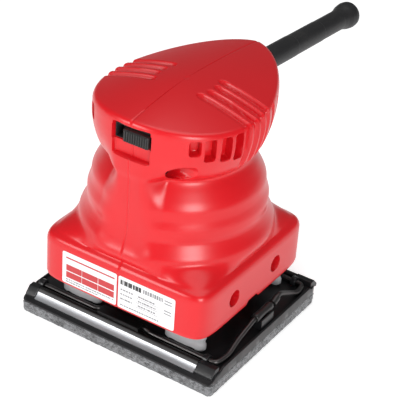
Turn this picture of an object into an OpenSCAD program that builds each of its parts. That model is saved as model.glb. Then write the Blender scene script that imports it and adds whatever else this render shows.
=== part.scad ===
// Quarter-sheet orbital sander: a two-part casing round a vertical motor, whose
// eccentric drives a felt-faced platen with a spring clamp at each end.
// The origin is at the middle of the platen's lower face. +X is the sander's
// right side, -Y its front, where the switch is, and +Z is up.

/* [Platen] */
// Width of the platen, side to side
platen_w = 112; // [104:1:130]
// Length of the platen, front to rear
platen_l = 102; // [96:1:120]
// Thickness of the felt sanding pad
pad_t = 5.9; // [4:0.1:9]
// Thickness of the base plate
plate_t = 4.4; // [3.6:0.1:6]
// Corner radius of pad and plate at the rear
rear_corner_r = 8; // [2:0.5:12]
// Corner radius of pad and plate at the front
front_corner_r = 2; // [1:0.5:8]

/* [Casing] */
// Width of the square skirt of the casing
body_w = 95.4; // [90:0.2:104]
// Distance of the skirt's front face from the middle of the platen
body_front = 48.9; // [46:0.1:52]
// Distance of the skirt's rear face from the middle of the platen
body_rear = 45.2; // [43:0.1:52]
// Gap between the base plate and the casing
body_gap = 15.2; // [13:0.1:20]
// Height of the skirt
body_h = 23.5; // [20:0.1:30]
// Height of the ridged column from the skirt to the neck
column_h = 45; // [40:0.5:60]
// Diameter of the column at its widest full ridge
column_d = 87.2; // [80:0.2:94]
// Diameter of the neck under the head
neck_d = 68.6; // [66:0.2:78]
// Height of the head from the neck to the edge of its top
head_h = 30; // [28:0.2:36]
// Width of the head
head_w = 81.8; // [76:0.2:94]
// Distance of the head's front from the middle of the platen
head_front = 44; // [42:0.2:48]
// Distance of the head's rear tip from the middle of the platen
head_rear = 64.5; // [60:0.5:76]
// Height of the crown of the top above its front edge
crown_h = 4.2; // [2:0.1:6]
// Wall thickness of the casing
wall = 2.4; // [1.8:0.1:3]
// Depth of the grip grooves in the head
groove_depth = 1.5; // [0.8:0.1:1.6]

/* [Drive] */
// Offset of the eccentric, half of the orbit's diameter
orbit_r = 0.8; // [0.5:0.05:1.2]
// Diameter of the armature core
armature_d = 31; // [26:0.5:33]
// Length of the armature core
armature_l = 24; // [16:0.5:26]
// Outer diameter of the stator core
stator_d = 54; // [50:0.5:56]
// Diameter of the shaft in its bearings
shaft_d = 10; // [8:0.5:10]
// Outer diameter of the fan
fan_d = 58; // [40:1:62]

/* [Switch and guard] */
// Travel of the switch slider
switch_travel = 5.6; // [3:0.1:6]
// Length of the cord guard outside the casing
guard_l = 98; // [60:1:120]
// Outer diameter of the cord guard at the casing
guard_d = 11.9; // [10:0.1:14]
// Bore of the cord guard
guard_bore_d = 6.6; // [5:0.1:8]

/* [Clamps] */
// Diameter of the lever wire
wire_d = 2.6; // [2:0.1:3]
// How far a clamp lever lifts, in degrees
lever_lift = 60; // [20:5:60]
// Thickness of the clamp strip's sheet
strip_t = 0.8; // [0.6:0.1:1.2]

/* [Hidden] */

// Clearances
run_gap = 0.05;   // round pieces that turn on each other
seat_gap = 0.1;   // pieces that sit in the casing
move_gap = 0.4;   // pieces that move past each other

// Levels
plate_z = pad_t;
plate_top = plate_z + plate_t;
body_z = plate_top + body_gap;
shoulder_z = body_z + body_h;
neck_z = shoulder_z + column_h;
edge_z = neck_z + head_h;
crown_z = edge_z + crown_h;
motor_y = -orbit_r;   // the rotor turns about this line; the eccentric points to the rear

// ---------------------------------------------------------------- casing skin
// Column ridges: [height share from shoulder to neck, radius share from neck to ridge]
ridges = [
  [0.13, 1.43], [0.2, 1.39], [0.244, 1.3], [0.289, 1.18], [0.333, 1.075], [0.389, 0.98],
  [0.444, 1], [0.5, 1], [0.556, 0.935], [0.611, 0.85], [0.667, 0.806], [0.711, 0.785],
  [0.778, 0.656], [0.844, 0.462], [0.911, 0.247], [0.956, 0.097], [1, 0], [1.1, 0.08]
];
// Flat front of the column: [height share, share of the way from head front to skirt front]
apron = [
  [0, 1], [0.11, 0.87], [0.193, 0.51], [0.289, 0.22], [0.4, 0.06], [0.622, 0], [1.2, 0]
];
// Side of the head: [height share from neck to edge, size share]
head_side = [
  [0, 0.83], [0.05, 0.86], [0.133, 0.905], [0.233, 0.94], [0.333, 0.963], [0.467, 0.985],
  [0.6, 0.996], [0.733, 1], [0.85, 1], [0.917, 0.995], [0.96, 0.985], [0.99, 0.967], [1, 0.95]
];
apron_set_back = 0.6;  // the column's front stands this far behind the head's front
column_y = -1.5;       // middle of the column
edge_droop = 3.6;      // the head's edge is this much lower at the sides
skirt_round = 4;       // rounding of the skirt's upper edge

function smooth(a, b, x) = let (u = min(1, max(0, (x - a) / (b - a)))) u * u * (3 - 2 * u);
function mix(a, b, w) = a * (1 - w) + b * w;
// Radius of an egg-shaped outline at angle t from the front; n is larger for squarer
function outline(t, half_w, front, rear, n_front, n_rear) =
  let (n = cos(t) >= 0 ? n_front : n_rear, reach = cos(t) >= 0 ? front : rear)
  pow(pow(abs(sin(t)) / half_w, n) + pow(abs(cos(t)) / reach, n), -1 / n);
function column_r(t, z) =
  let (
    share = (z - shoulder_z) / column_h,
    r = mix(neck_d, column_d, lookup(share, ridges)) / 2,
    round_r = -column_y * cos(t) + sqrt(r * r - pow(column_y * sin(t), 2)),
    front = mix(head_front - apron_set_back, body_front, lookup(share, apron)),
    side = smooth(7, 24, abs(t))
  ) mix(front / max(cos(t), 0.3), round_r, side);
function head_r(t, z) =
  outline(t, head_w / 2, head_front, head_rear, 2.2, 1.54)
  * mix(1, lookup((z - neck_z) / head_h, head_side),
        max(smooth(9, 26, abs(t)), smooth(edge_z - 6, edge_z, z)));
function skirt_r(t, z) =
  let (rise = min(1, max(0, (z - shoulder_z + skirt_round) / skirt_round)))
  outline(t, body_w / 2, body_front, body_rear, 10, 10)
  - skirt_round * (1 - sqrt(1 - min(0.96, rise * rise)));
function skin_r(t, z) =
  let (
    low = mix(skirt_r(t, z), column_r(t, max(z, shoulder_z)),
              smooth(shoulder_z - 0.5, shoulder_z + 8, z))
  ) mix(low, head_r(t, max(z, neck_z)), smooth(neck_z - 0.5, neck_z + 4, z));
// Radius of the skin set in by d, measured square to steep and flat stretches alike
function inset_r(t, z, d) =
  min(skin_r(t, z), skin_r(t, max(body_z, z - d)), skin_r(t, min(z + d, edge_z))) - d;
function droop(r, t, z) =
  edge_droop * pow(r * sin(t) / (head_w / 2), 2) * smooth(edge_z - 16, edge_z - 3, z);

sides = 60;
skin_levels = concat(
  [for (s = [0.4, 0.83, 0.9, 0.95, 1]) mix(body_z, shoulder_z, s)],
  [for (s = [0.03, 0.06, 0.1, 0.15, 0.2, 0.25, 0.29, 0.335, 0.39, 0.44, 0.5, 0.56, 0.61,
             0.67, 0.72, 0.78, 0.845, 0.91, 0.96, 1]) mix(shoulder_z, neck_z, s)],
  [for (s = [0.05, 0.13, 0.23, 0.35, 0.5, 0.7, 0.85, 0.917, 0.96, 0.99, 1])
    mix(neck_z, edge_z, s)]
);
crown_shares = [0.9, 0.7, 0.45, 0.2];

function skin_point(t, z, d) =
  let (r = d == 0 ? skin_r(t, z) : inset_r(t, z, d))
  [r * sin(t), -r * cos(t), z - droop(r, t, z) - (z > neck_z ? d * smooth(neck_z, edge_z, z) : 0)];
// Solid bounded by the skin set in by d, standing on level z_low
module skin_solid(d, z_low) {
  step = d > 0 ? 2 : 1;
  last = len(skin_levels) - 1;
  levels = concat([z_low], [for (k = [last % step : step : last]) skin_levels[k]]);
  wall_points = [for (z = levels, i = [0 : sides - 1])
    skin_point(360 * i / sides - 180, max(z, body_z), d) + [0, 0, min(0, z - body_z)]];
  crown_points = [for (s = crown_shares, i = [0 : sides - 1])
    let (p = skin_point(360 * i / sides - 180, edge_z, d))
    [p.x * s, p.y * s, mix(p.z, crown_z - d, 1 - pow(s, 1.8))]];
  rows = len(levels) + len(crown_shares);
  top = rows * sides;
  faces = concat(
    [for (k = [0 : rows - 2], i = [0 : sides - 1])
      let (a = k * sides + i, b = k * sides + (i + 1) % sides)
      each [[a, b + sides, b], [a, a + sides, b + sides]]],
    [for (i = [0 : sides - 1])
      [(rows - 1) * sides + i, top, (rows - 1) * sides + (i + 1) % sides]],
    [for (i = [0 : sides - 1]) [i, (i + 1) % sides, top + 1]]
  );
  polyhedron(
    concat(wall_points, crown_points, [[0, 0, crown_z - d]], [[0, 0, z_low]]),
    faces
  );
}

// ---------------------------------------------------------------- small shapes
module tube(r_out, r_in, h) {
  difference() {
    cylinder(r = r_out, h = h, $fn = 48);
    translate([0, 0, -1])
      cylinder(r = r_in, h = h + 2, $fn = 48);
  }
}
module rounded_slab(w, l, h, r_front, r_rear) {
  hull() {
    for (sx = [-1, 1]) {
      translate([sx * (w / 2 - r_front), -l / 2 + r_front])
        cylinder(r = r_front, h = h, $fn = 32);
      translate([sx * (w / 2 - r_rear), l / 2 - r_rear])
        cylinder(r = r_rear, h = h, $fn = 32);
    }
  }
}
// Pan-head screw pointing down from z = 0, its head above
module pan_screw(d, l, head_d, head_h) {
  difference() {
    cylinder(d = head_d, h = head_h, $fn = 32);
    for (a = [0, 90])
      rotate([0, 0, a])
        translate([-head_d * 0.32, -head_d * 0.07, head_h * 0.5])
          cube([head_d * 0.64, head_d * 0.14, head_h]);
  }
  translate([0, 0, -l])
    cylinder(d = d, h = l, $fn = 32);
}
// Path with every inner corner rounded over a length of r on both sides
function rounded_path(p, r) = concat(
  [p[0]],
  [for (i = [1 : len(p) - 2])
    let (
      a = p[i - 1] - p[i],
      b = p[i + 1] - p[i],
      start = a * min(0.45, r / norm(a)),
      end = b * min(0.45, r / norm(b))
    )
    for (u = [0 : 0.25 : 1]) p[i] + start * pow(1 - u, 2) + end * pow(u, 2)],
  [p[len(p) - 1]]
);
// Round wire along a path that is never upright
module wire(points, d) {
  path = rounded_path(points, d);
  n = len(path);
  around = 16;
  rings = [for (k = [0 : n - 1])
    let (
      step = path[min(k + 1, n - 1)] - path[max(k - 1, 0)],
      side = cross([0, 0, 1], step) / norm(cross([0, 0, 1], step)),
      up = cross(step, side) / norm(step)
    )
    for (i = [0 : around - 1])
      path[k] + d / 2 * (cos(360 * i / around) * side + sin(360 * i / around) * up)];
  faces = concat(
    [[for (i = [0 : around - 1]) i]],
    [for (k = [0 : n - 2], i = [0 : around - 1])
      let (a = k * around + i, b = k * around + (i + 1) % around)
      each [[a, a + around, b], [b, a + around, b + around]]],
    [[for (i = [around - 1 : -1 : 0]) (n - 1) * around + i]]
  );
  polyhedron(rings, faces);
}
module at_motor(z) {
  translate([0, motor_y, z])
    children();
}

// ---------------------------------------------------------------- bearings
// [bore diameter, outer diameter, width, ball diameter, number of balls, z of lower face]
upper_bearing = [8, 22, 7, 3.9, 7, neck_z + 18.5];
lower_bearing = [shaft_d, 26, 8, 4.7, 8, shoulder_z - 7];
platen_bearing = [12, 28, 8, 4.7, 8, plate_top + 4];
module bearing_groove(b, d_extra) {
  rotate_extrude($fn = 64)
    translate([(b[0] + b[1]) / 4, b[2] / 2])
      circle(d = b[3] + d_extra, $fn = 24);
}
function race_t(b) = ((b[1] - b[0]) / 2 - b[3] * 0.72) / 2;
module bearing_outer(b) {
  color("silver")
    difference() {
      tube(b[1] / 2, b[1] / 2 - race_t(b), b[2]);
      bearing_groove(b, 2 * run_gap);
    }
}
module bearing_inner(b) {
  color("silver")
    difference() {
      tube(b[0] / 2 + race_t(b), b[0] / 2, b[2]);
      bearing_groove(b, 2 * run_gap);
    }
}
module bearing_balls(b) {
  color("gainsboro")
    for (i = [1 : b[4]])
      rotate([0, 0, 360 * i / b[4]])
        translate([(b[0] + b[1]) / 4, 0, b[2] / 2])
          sphere(d = b[3], $fn = 24);
}

// ---------------------------------------------------------------- places the pieces share
// Each clamp: a rod its strip rolls on, and a lever whose crank lifts the strip's tail
rod_y = platen_l / 2 - 6.4;
rod_d = 1.4;
roll_r = rod_d / 2 + strip_t;
rod_z = plate_top + roll_r + 0.1;
crank = 1.2;
lever_y = rod_y - roll_r - wire_d / 2 - crank * sin(lever_lift) - move_gap;
lever_z = plate_top + wire_d / 2 + 0.3;
strip_x = [-49, 45];
lug_t = 2.6;
lug_gap = 0.3;
lug_left_x = strip_x[0] - lug_t - lug_gap;
lug_right_x = strip_x[1] + lug_gap;

// ---------------------------------------------------------------- casing
// Screws across the casing: [y, z, x of the head's seat]
screw_d = 3.8;
screw_head_d = 6.8;
screw_low_z = body_z + 11.2;
screws = [
  [-21.4, screw_low_z, body_w / 2 - 9],
  [15.5, screw_low_z, body_w / 2 - 9],
  [-34.5, neck_z + 7.4, 11.5],
  [31, neck_z + 6, 11.5]
];
boss_r = 4.4;
leg_x = 30.5;
leg_lobe_r = 4.1;
leg_lobe_x = 5.9;
leg_r = 3.6;
leg_top_z = body_z + 7;
socket_r = leg_r + 2 * orbit_r + move_gap;
socket_wall = 1.8;
// as far out as both the clamp levers and the skirt's wall allow
leg_y = min(lever_y - wire_d / 2 - move_gap - leg_lobe_r, body_rear - wall - socket_r);
recess_half_w = 10;
recess_floor_y = -head_front + 2.9;
recess_z = [neck_z + 10.7, neck_z + 27];
slot_half_w = 9.9;
slot_z = [neck_z + 18, neck_z + 25.2];
groove_w = 4;
groove_y = [-8.6, -2.7, 3.2, 9.1];
groove_x = [11.6, 13.4, 13.4, 12];
// Air slots in the head: [angle from the front, width, lowest level, highest level]
air_slots = [
  [39.8, 4.8, neck_z + 18, neck_z + 24.8],
  [49.3, 5, neck_z + 14.5, neck_z + 25],
  [60.1, 4.9, neck_z + 13.2, neck_z + 24.8],
  [70, 4.6, neck_z + 12, neck_z + 24.6],
  [115, 4.4, neck_z + 11, neck_z + 26]
];
rear_slots = [128, 138, 146.5, 153.5];
rear_slot_z = neck_z + 18;
slot_depth = 4.6;
rear_slot_depth = 3;
slot_back = 1.6;   // the slots are closed behind by a wall this thick
module at_slot(angle, depth) {
  rotate([0, 0, angle])
    translate([0, -head_r(angle, neck_z + 18) + depth, 0])
      children();
}
guard_tilt = 3.8;
guard_y = head_rear - 1.5;
guard_z = neck_z + 16.1;
flange_r = guard_d / 2 + 2.4;
flange_t = 3;
flange_y = guard_y - 8;

module at_guard() {
  translate([0, guard_y, guard_z])
    rotate([-90 - guard_tilt, 0, 0])
      children();
}
module along_x(y, z, x) {
  translate([x, y, z])
    rotate([0, 90, 0])
      children();
}
// Everything inside the skin that carries a piece
module inner_frame() {
  for (s = screws)
    along_x(s[0], s[1], -60)
      cylinder(r = boss_r, h = 120, $fn = 24);
  for (sx = [-1, 1], sy = [-1, 1])
    translate([sx * leg_x, sy * leg_y + motor_y, body_z]) {
      cylinder(r = socket_r + socket_wall, h = leg_top_z - body_z + 3, $fn = 32);
      translate([-2, sy * 15 - 15, 0])
        cube([4, 30, leg_top_z - body_z + 3]);
      translate([sx * 15 - 15, -2, 0])
        cube([30, 4, leg_top_z - body_z + 3]);
    }
  for (b = [upper_bearing, lower_bearing])
    at_motor(b[5] - 1) {
      cylinder(r = b[1] / 2 + 3, h = b[2] + 2, $fn = 48);
      for (a = b == upper_bearing ? [0, 130, 180, 230] : [0, 50, 130, 180, 230, 310])
        rotate([0, 0, a])
          translate([0, -2.5, 1.5])
            cube([60, 5, b[2] - 1]);
    }
  at_motor(neck_z - 30)
    for (a = [0, 62, 118, 180, 242, 298])
      rotate([0, 0, a])
        translate([stator_d / 2 - 3, -1.5, 0])
          cube([30, 3, 24]);
  translate([0, flange_y + flange_t / 2, guard_z])
    cube([2 * flange_r + 6, flange_t + 5, 2 * flange_r + 4], center = true);
  for (sx = [-1, 1], s = air_slots)
    at_slot(sx * s[0], slot_depth + slot_back)
      translate([-s[1] / 2 - slot_back, -slot_depth, s[2] - slot_back])
        cube([s[1] + 2 * slot_back, slot_depth, s[3] - s[2] + 2 * slot_back]);
  for (sx = [-1, 1], a = rear_slots)
    at_slot(sx * a, rear_slot_depth + slot_back)
      translate([-3.2, -rear_slot_depth, rear_slot_z - 8])
        cube([6.4, rear_slot_depth - 0.4, 16]);
}
// Everything cut out of the casing
weight_z = platen_bearing[5] + platen_bearing[2] + 3.6;
weight_r = 20;
weight_h = 4.6;
module casing_cuts() {
  at_motor(weight_z - 1)
    cylinder(r = weight_r + move_gap, h = weight_h + 1 + move_gap, $fn = 64);
  for (s = screws) {
    along_x(s[0], s[1], -36)
      cylinder(d = screw_d + 2 * seat_gap, h = 100, $fn = 24);
    along_x(s[0], s[1], s[2])
      cylinder(d = screw_head_d + 0.8, h = 60, $fn = 24);
  }
  for (sx = [-1, 1], sy = [-1, 1])
    translate([sx * leg_x, sy * leg_y + motor_y, body_z - 1])
      cylinder(r = socket_r, h = leg_top_z - body_z + 1 + move_gap, $fn = 32);
  for (b = [upper_bearing, lower_bearing])
    at_motor(b[5]) {
      cylinder(r = b[1] / 2 + seat_gap, h = b[2], $fn = 48);
      translate([0, 0, -20])
        cylinder(r = b[1] / 2 - 3, h = b[2] + 23, $fn = 48);
    }
  at_motor(neck_z - 40)
    cylinder(d = stator_d + 2 * seat_gap, h = 46, $fn = 48);
  // switch recess and slider slot
  translate([-recess_half_w, recess_floor_y - 20, recess_z[0]])
    cube([2 * recess_half_w, 20, recess_z[1] - recess_z[0]]);
  translate([-slot_half_w, -60, slot_z[0]])
    cube([2 * slot_half_w, 30, slot_z[1] - slot_z[0]]);
  // cord guard and its flange
  at_guard()
    translate([0, 0, -30])
      cylinder(d = guard_d + 2 * seat_gap, h = 60, $fn = 32);
  translate([0, flange_y - seat_gap, guard_z])
    rotate([-90, 0, 0])
      cylinder(r = flange_r + 0.8, h = flange_t + 2 * seat_gap, $fn = 32);
  for (sx = [-1, 1], s = air_slots)
    at_slot(sx * s[0], slot_depth)
      translate([-s[1] / 2, -20, s[2]])
        cube([s[1], 20, s[3] - s[2]]);
  for (sx = [-1, 1], a = rear_slots)
    at_slot(sx * a, rear_slot_depth)
      translate([0, -10, rear_slot_z])
        rotate([0, sx * 14, 0])
          cube([2.2, 20, 13], center = true);
  // clearance for the clamp levers in the skirt's right edge
  translate([body_w / 2 - 8, -8, body_z - 1])
    cube([20, 9, 2.6]);
}
module grip_grooves() {
  difference() {
    for (sx = [-1, 1], k = [0 : len(groove_y) - 1]) {
      x0 = groove_x[k] + groove_w / 2;
      translate([sx > 0 ? x0 : -x0 - 60, groove_y[k] - groove_w / 2, neck_z + 3])
        cube([60, groove_w, 50]);
      translate([sx * x0, groove_y[k], neck_z + 3])
        cylinder(d = groove_w, h = 50, $fn = 20);
    }
    skin_solid(groove_depth, body_z - 2);
  }
}
module casing() {
  difference() {
    union() {
      difference() {
        skin_solid(0, body_z);
        skin_solid(wall, body_z - 5);
      }
      intersection() {
        skin_solid(wall / 2, body_z);
        inner_frame();
      }
    }
    casing_cuts();
    grip_grooves();
  }
}
module casing_half(side) {
  color("red")
    resize([0, 0, 0])
      intersection() {
        casing();
        translate([side > 0 ? 0 : -80, -100, 0])
          cube([80, 200, 200]);
      }
}
module housing_right() {
  casing_half(1);
}
module housing_left() {
  casing_half(-1);
}
module housing_screws() {
  color("dimgray")
    for (s = screws)
      along_x(s[0], s[1], s[2])
        pan_screw(screw_d - 0.8, s[2] + 14, screw_head_d, 2.6);
}

label_w = 32;
label_h = 17.8;
label_t = 0.25;
module rating_label(side) {
  color("white")
    translate([side > 0 ? 0.5 : -0.5 - label_w, -body_front - label_t - 0.02, body_z + 1.2])
      cube([label_w, label_t, label_h]);
}
module rating_label_left() {
  rating_label(-1);
}
module rating_label_right() {
  rating_label(1);
}

// ---------------------------------------------------------------- switch
slot_end_gap = 0.3;
slider_w = 2 * (slot_half_w - slot_end_gap) - switch_travel;
slider_h = 6.2;
slider_x = slot_half_w - slot_end_gap - slider_w / 2;
slider_z = (slot_z[0] + slot_z[1]) / 2;
switch_back_y = recess_floor_y + wall + 3.6;
module switch_body() {
  color("dimgray")
    difference() {
      translate([-9.5, switch_back_y, neck_z + 13])
        cube([19, 13, 13]);
      translate([-9.8, switch_back_y - 1, slider_z - 1.9])
        cube([19.6, 4, 3.8]);
    }
}
module switch_slider() {
  cap_y = -head_front + 0.2;
  color("black") {
    translate([slider_x - slider_w / 2, cap_y, slider_z - slider_h / 2])
      cube([slider_w, switch_back_y - 0.5 - cap_y, slider_h]);
    for (i = [0 : 9])
      translate([slider_x + (i - 4.5) * 1.3 - 0.35, cap_y - 0.5, slider_z - slider_h / 2])
        cube([0.7, 0.6, slider_h]);
    translate([slider_x - 1.5, switch_back_y - 0.6, slider_z - 1.4])
      cube([3, 3, 2.8]);
  }
}

// ---------------------------------------------------------------- cord guard
module cord_guard() {
  tip_d = guard_d - 1.1;
  lip_r = guard_d / 2 + 0.6;
  color("black")
    difference() {
      union() {
        at_guard()
          rotate_extrude($fn = 48)
            polygon([
              [guard_bore_d / 2, -4.8], [guard_d / 2, -4.8], [guard_d / 2, 30],
              [tip_d / 2, 50], [tip_d / 2, guard_l - 6], [lip_r, guard_l - 3],
              [lip_r, guard_l], [guard_bore_d / 2, guard_l]
            ]);
        translate([0, flange_y, guard_z])
          rotate([-90, 0, 0])
            cylinder(r = flange_r, h = flange_t, $fn = 48);
      }
      at_guard()
        translate([0, 0, -20])
          cylinder(d = guard_bore_d, h = 20 + guard_l + 1, $fn = 48);
    }
}
clamp_y = flange_y - 12;
module cord_clamp() {
  color("dimgray")
    difference() {
      translate([-10, clamp_y, guard_z + 4.2])
        cube([20, 7, 3]);
      for (sx = [-1, 1])
        translate([sx * 7, clamp_y + 3.5, guard_z])
          cylinder(d = 3.2, h = 12, $fn = 24);
    }
}
module cord_clamp_screws() {
  color("silver")
    for (sx = [-1, 1])
      translate([sx * 7, clamp_y + 3.5, guard_z + 7.25])
        pan_screw(2.9, 11, 5, 2);
}

// ---------------------------------------------------------------- motor, fixed
stator_z = neck_z - 28;
stator_l = armature_l;
armature_z = stator_z;
stator_bore_r = armature_d / 2 + 0.6;
module stator_core() {
  color("slategray")
    at_motor(stator_z)
      difference() {
        cylinder(d = stator_d, h = stator_l, $fn = 64);
        translate([0, 0, -1])
          cylinder(r = stator_bore_r, h = stator_l + 2, $fn = 64);
        for (a = [0, 180])
          rotate([0, 0, a])
            translate([-12.5, 14.5, -1])
              cube([25, 7, stator_l + 2]);
      }
}
coil_end = 3.5;
module field_coils() {
  color("darkgoldenrod")
    at_motor(stator_z - coil_end)
      for (a = [0, 180])
        rotate([0, 0, a])
          translate([-11.5, armature_d / 2 + 1.8, 0])
            cube([23, 3.8, stator_l + 2 * coil_end]);
}
winding_h = 6;
commutator_r = 10;
commutator_h = 12;
commutator_z = stator_z + armature_l + winding_h + 0.2;
brush_z = commutator_z + commutator_h / 2;
module brush_holders() {
  color("goldenrod")
    for (a = [0, 180])
      at_motor(brush_z)
        rotate([0, 0, a])
          difference() {
            translate([13, -4.4, -4])
              cube([17, 8.8, 8]);
            translate([12, -3.1, -2.6])
              cube([19, 6.2, 5.2]);
          }
}
module carbon_brushes() {
  color([0.12, 0.12, 0.13])
    for (a = [0, 180])
      at_motor(brush_z)
        rotate([0, 0, a])
          difference() {
            translate([commutator_r - 1, -3, -2.5])
              cube([11, 6, 5]);
            translate([0, 0, -5])
              cylinder(r = commutator_r + run_gap, h = 10, $fn = 64);
          }
}
module brush_springs() {
  color("silver")
    for (a = [0, 180])
      at_motor(brush_z)
        rotate([0, 0, a])
          for (i = [0 : 5])
            translate([20.2 + i * 1.5, 0, 0])
              rotate([0, 90, 0])
                tube(2.2, 1.5, 1.5);
}
module suppression_capacitor() {
  color("goldenrod")
    translate([-7, 22, neck_z + 13.5])
      cube([14, 10, 8]);
}

// ---------------------------------------------------------------- rotor
shaft_low_z = plate_top + 19.5;
shaft_high_z = upper_bearing[5] + upper_bearing[2] + 1;
module rotor_shaft() {
  color("silver") {
    at_motor(shaft_low_z)
      cylinder(d = shaft_d, h = upper_bearing[5] - 3 - shaft_low_z, $fn = 48);
    at_motor(upper_bearing[5] - 3)
      cylinder(d = upper_bearing[0], h = shaft_high_z - upper_bearing[5] + 3, $fn = 48);
  }
}
module armature_core() {
  color("slategray")
    at_motor(armature_z)
      difference() {
        tube(armature_d / 2, shaft_d / 2, armature_l);
        for (i = [1 : 12])
          rotate([0, 0, 30 * i])
            translate([armature_d / 2 - 1.2, 0, -1])
              cube([4.2, 1.6, 2 * armature_l + 4], center = true);
      }
}
module armature_windings() {
  color("chocolate")
    for (z = [armature_z - winding_h, armature_z + armature_l])
      at_motor(z)
        tube(armature_d / 2 - 2.2, shaft_d / 2, winding_h);
}
module commutator() {
  color("peru")
    at_motor(commutator_z)
      difference() {
        tube(commutator_r, shaft_d / 2, commutator_h);
        for (i = [1 : 24])
          rotate([0, 0, 15 * i])
            translate([commutator_r, 0, commutator_h / 2 + 1.5])
              cube([1.6, 0.4, commutator_h], center = true);
      }
}
fan_z = shoulder_z + 2.4;
fan_h = 7.2;
module cooling_fan() {
  color("gainsboro")
    at_motor(fan_z) {
      tube(9, shaft_d / 2, fan_h);
      translate([0, 0, fan_h - 2])
        tube(fan_d / 2, 8.5, 2);
      for (i = [1 : 10])
        rotate([0, 0, 36 * i])
          translate([8.5, -0.6, 0])
            cube([fan_d / 2 - 9, 1.2, fan_h - 1]);
    }
}
module eccentric() {
  hub_z = platen_bearing[5] + platen_bearing[2] + 3.2;
  hub_h = body_z + 15 - hub_z;
  color("silver")
    difference() {
      union() {
        at_motor(hub_z)
          cylinder(r = 9.5, h = hub_h, $fn = 48);
        translate([0, 0, platen_bearing[5]])
          cylinder(d = platen_bearing[0], h = hub_z - platen_bearing[5] + 0.5, $fn = 48);
      }
      at_motor(shaft_low_z)
        cylinder(d = shaft_d, h = 40, $fn = 48);
      translate([0, 0, platen_bearing[5] - 1])
        cylinder(d = 4, h = 9, $fn = 24);
    }
}
module counterweight() {
  color("gray")
    at_motor(weight_z)
      difference() {
        cylinder(r = weight_r, h = weight_h, $fn = 64);
        translate([0, 0, -1])
          cylinder(r = 9.5, h = 8, $fn = 48);
        translate([-30, 3, -1])
          cube([60, 40, 8]);
      }
}

// ---------------------------------------------------------------- platen
boss_outer_r = platen_bearing[1] / 2 + 4;
boss_top_z = platen_bearing[5] + platen_bearing[2];
retainer_t = 1.6;
retainer_hole_r = platen_bearing[1] / 2 + 2;
module clamp_lug(x, end) {
  difference() {
    hull() {
      translate([x, end * rod_y, rod_z])
        rotate([0, 90, 0])
          cylinder(r = 2.1, h = lug_t, $fn = 32);
      translate([x, end * lever_y, lever_z])
        rotate([0, 90, 0])
          cylinder(r = 2.4, h = lug_t, $fn = 32);
      translate([x, end * (rod_y + lever_y) / 2 - 3.5, plate_top - 0.5])
        cube([lug_t, 7, 0.5]);
    }
    along_x(end * rod_y, rod_z, x - 1)
      cylinder(d = rod_d, h = lug_t + 2, $fn = 32);
    along_x(end * lever_y, lever_z, x - 1)
      cylinder(d = wire_d + 2 * run_gap, h = lug_t + 2, $fn = 32);
  }
}
// Cross-section of the plate: a sloping shoulder at each end for the paper
plate_edge_t = 1;
shoulder_y = rod_y + 1.2;
lip_gap = 0.4;
tail_gap = 0.5;
// Height of the shoulder at a distance beyond the rod
function shoulder(d) = plate_top
  - (plate_t - plate_edge_t) * (rod_y + d - shoulder_y) / (platen_l / 2 - shoulder_y);
module plate_section() {
  polygon([
    [-platen_l / 2, plate_z], [-platen_l / 2, plate_z + plate_edge_t],
    [-shoulder_y, plate_top], [shoulder_y, plate_top],
    [platen_l / 2, plate_z + plate_edge_t], [platen_l / 2, plate_z]
  ]);
}
// Raised block beyond the lug at one corner of the plate
module corner_block(x0, x1, end) {
  translate([x0, 0, 0])
    rotate([90, 0, 90])
      linear_extrude(x1 - x0)
        polygon([
          [end * (rod_y - 1.8), plate_top - 0.5], [end * (rod_y - 1.8), plate_top + 3],
          [end * (rod_y + 1.2), plate_top + 3], [end * (rod_y + 4.4), shoulder(4.4) + 1.2],
          [end * (rod_y + 4.4), shoulder(4.4) - 0.5]
        ]);
}
module base_plate() {
  color([0.08, 0.08, 0.09]) {
    difference() {
      union() {
        intersection() {
          translate([0, 0, plate_z])
            rounded_slab(platen_w, platen_l, plate_t, front_corner_r, rear_corner_r);
          rotate([90, 0, 90])
            translate([0, 0, -platen_w / 2])
              linear_extrude(platen_w)
                plate_section();
        }
        translate([0, 0, plate_z])
          cylinder(r = boss_outer_r, h = boss_top_z - plate_z, $fn = 64);
        for (a = [0 : 60 : 300])
          rotate([0, 0, a])
            translate([boss_outer_r - 1, -1.2, plate_z + 1])
              cube([14, 2.4, plate_t + 3]);
      }
      translate([0, 0, platen_bearing[5]])
        cylinder(r = platen_bearing[1] / 2, h = 20, $fn = 64);
      translate([0, 0, plate_z - 1])
        cylinder(r = platen_bearing[1] / 2 - 3, h = 20, $fn = 64);
      for (a = [90, 210, 330])
        rotate([0, 0, a])
          translate([retainer_hole_r, 0, boss_top_z - 5])
            cylinder(d = 2, h = 8, $fn = 24);
      for (sx = [-1, 1], sy = [-1, 1])
        translate([sx * leg_x, sy * leg_y, plate_z - 1]) {
          cylinder(d = 4.4, h = 10, $fn = 24);
          cylinder(d = 8.4, h = 3.4, $fn = 24);
        }
    }
    for (end = [-1, 1], x = [lug_left_x, lug_right_x])
      clamp_lug(x, end);
    for (end = [-1, 1]) {
      corner_block(1 - platen_w / 2, lug_left_x, end);
      corner_block(lug_right_x + lug_t, platen_w / 2 - 1, end);
    }
  }
}
module sanding_pad() {
  color("gray")
    rounded_slab(platen_w, platen_l, pad_t, front_corner_r, rear_corner_r);
}
module bearing_retainer() {
  color("silver")
    translate([0, 0, boss_top_z])
      difference() {
        tube(boss_outer_r - 0.3, platen_bearing[1] / 2 - 2.6, retainer_t);
        for (a = [90, 210, 330])
          rotate([0, 0, a])
            translate([retainer_hole_r, 0, -1])
              cylinder(d = 2.4, h = 4, $fn = 24);
      }
}
module retainer_screws() {
  color("silver")
    for (a = [90, 210, 330])
      rotate([0, 0, a])
        translate([retainer_hole_r, 0, boss_top_z + retainer_t])
          pan_screw(2, 5.5, 3.4, 1.2);
}
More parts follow.
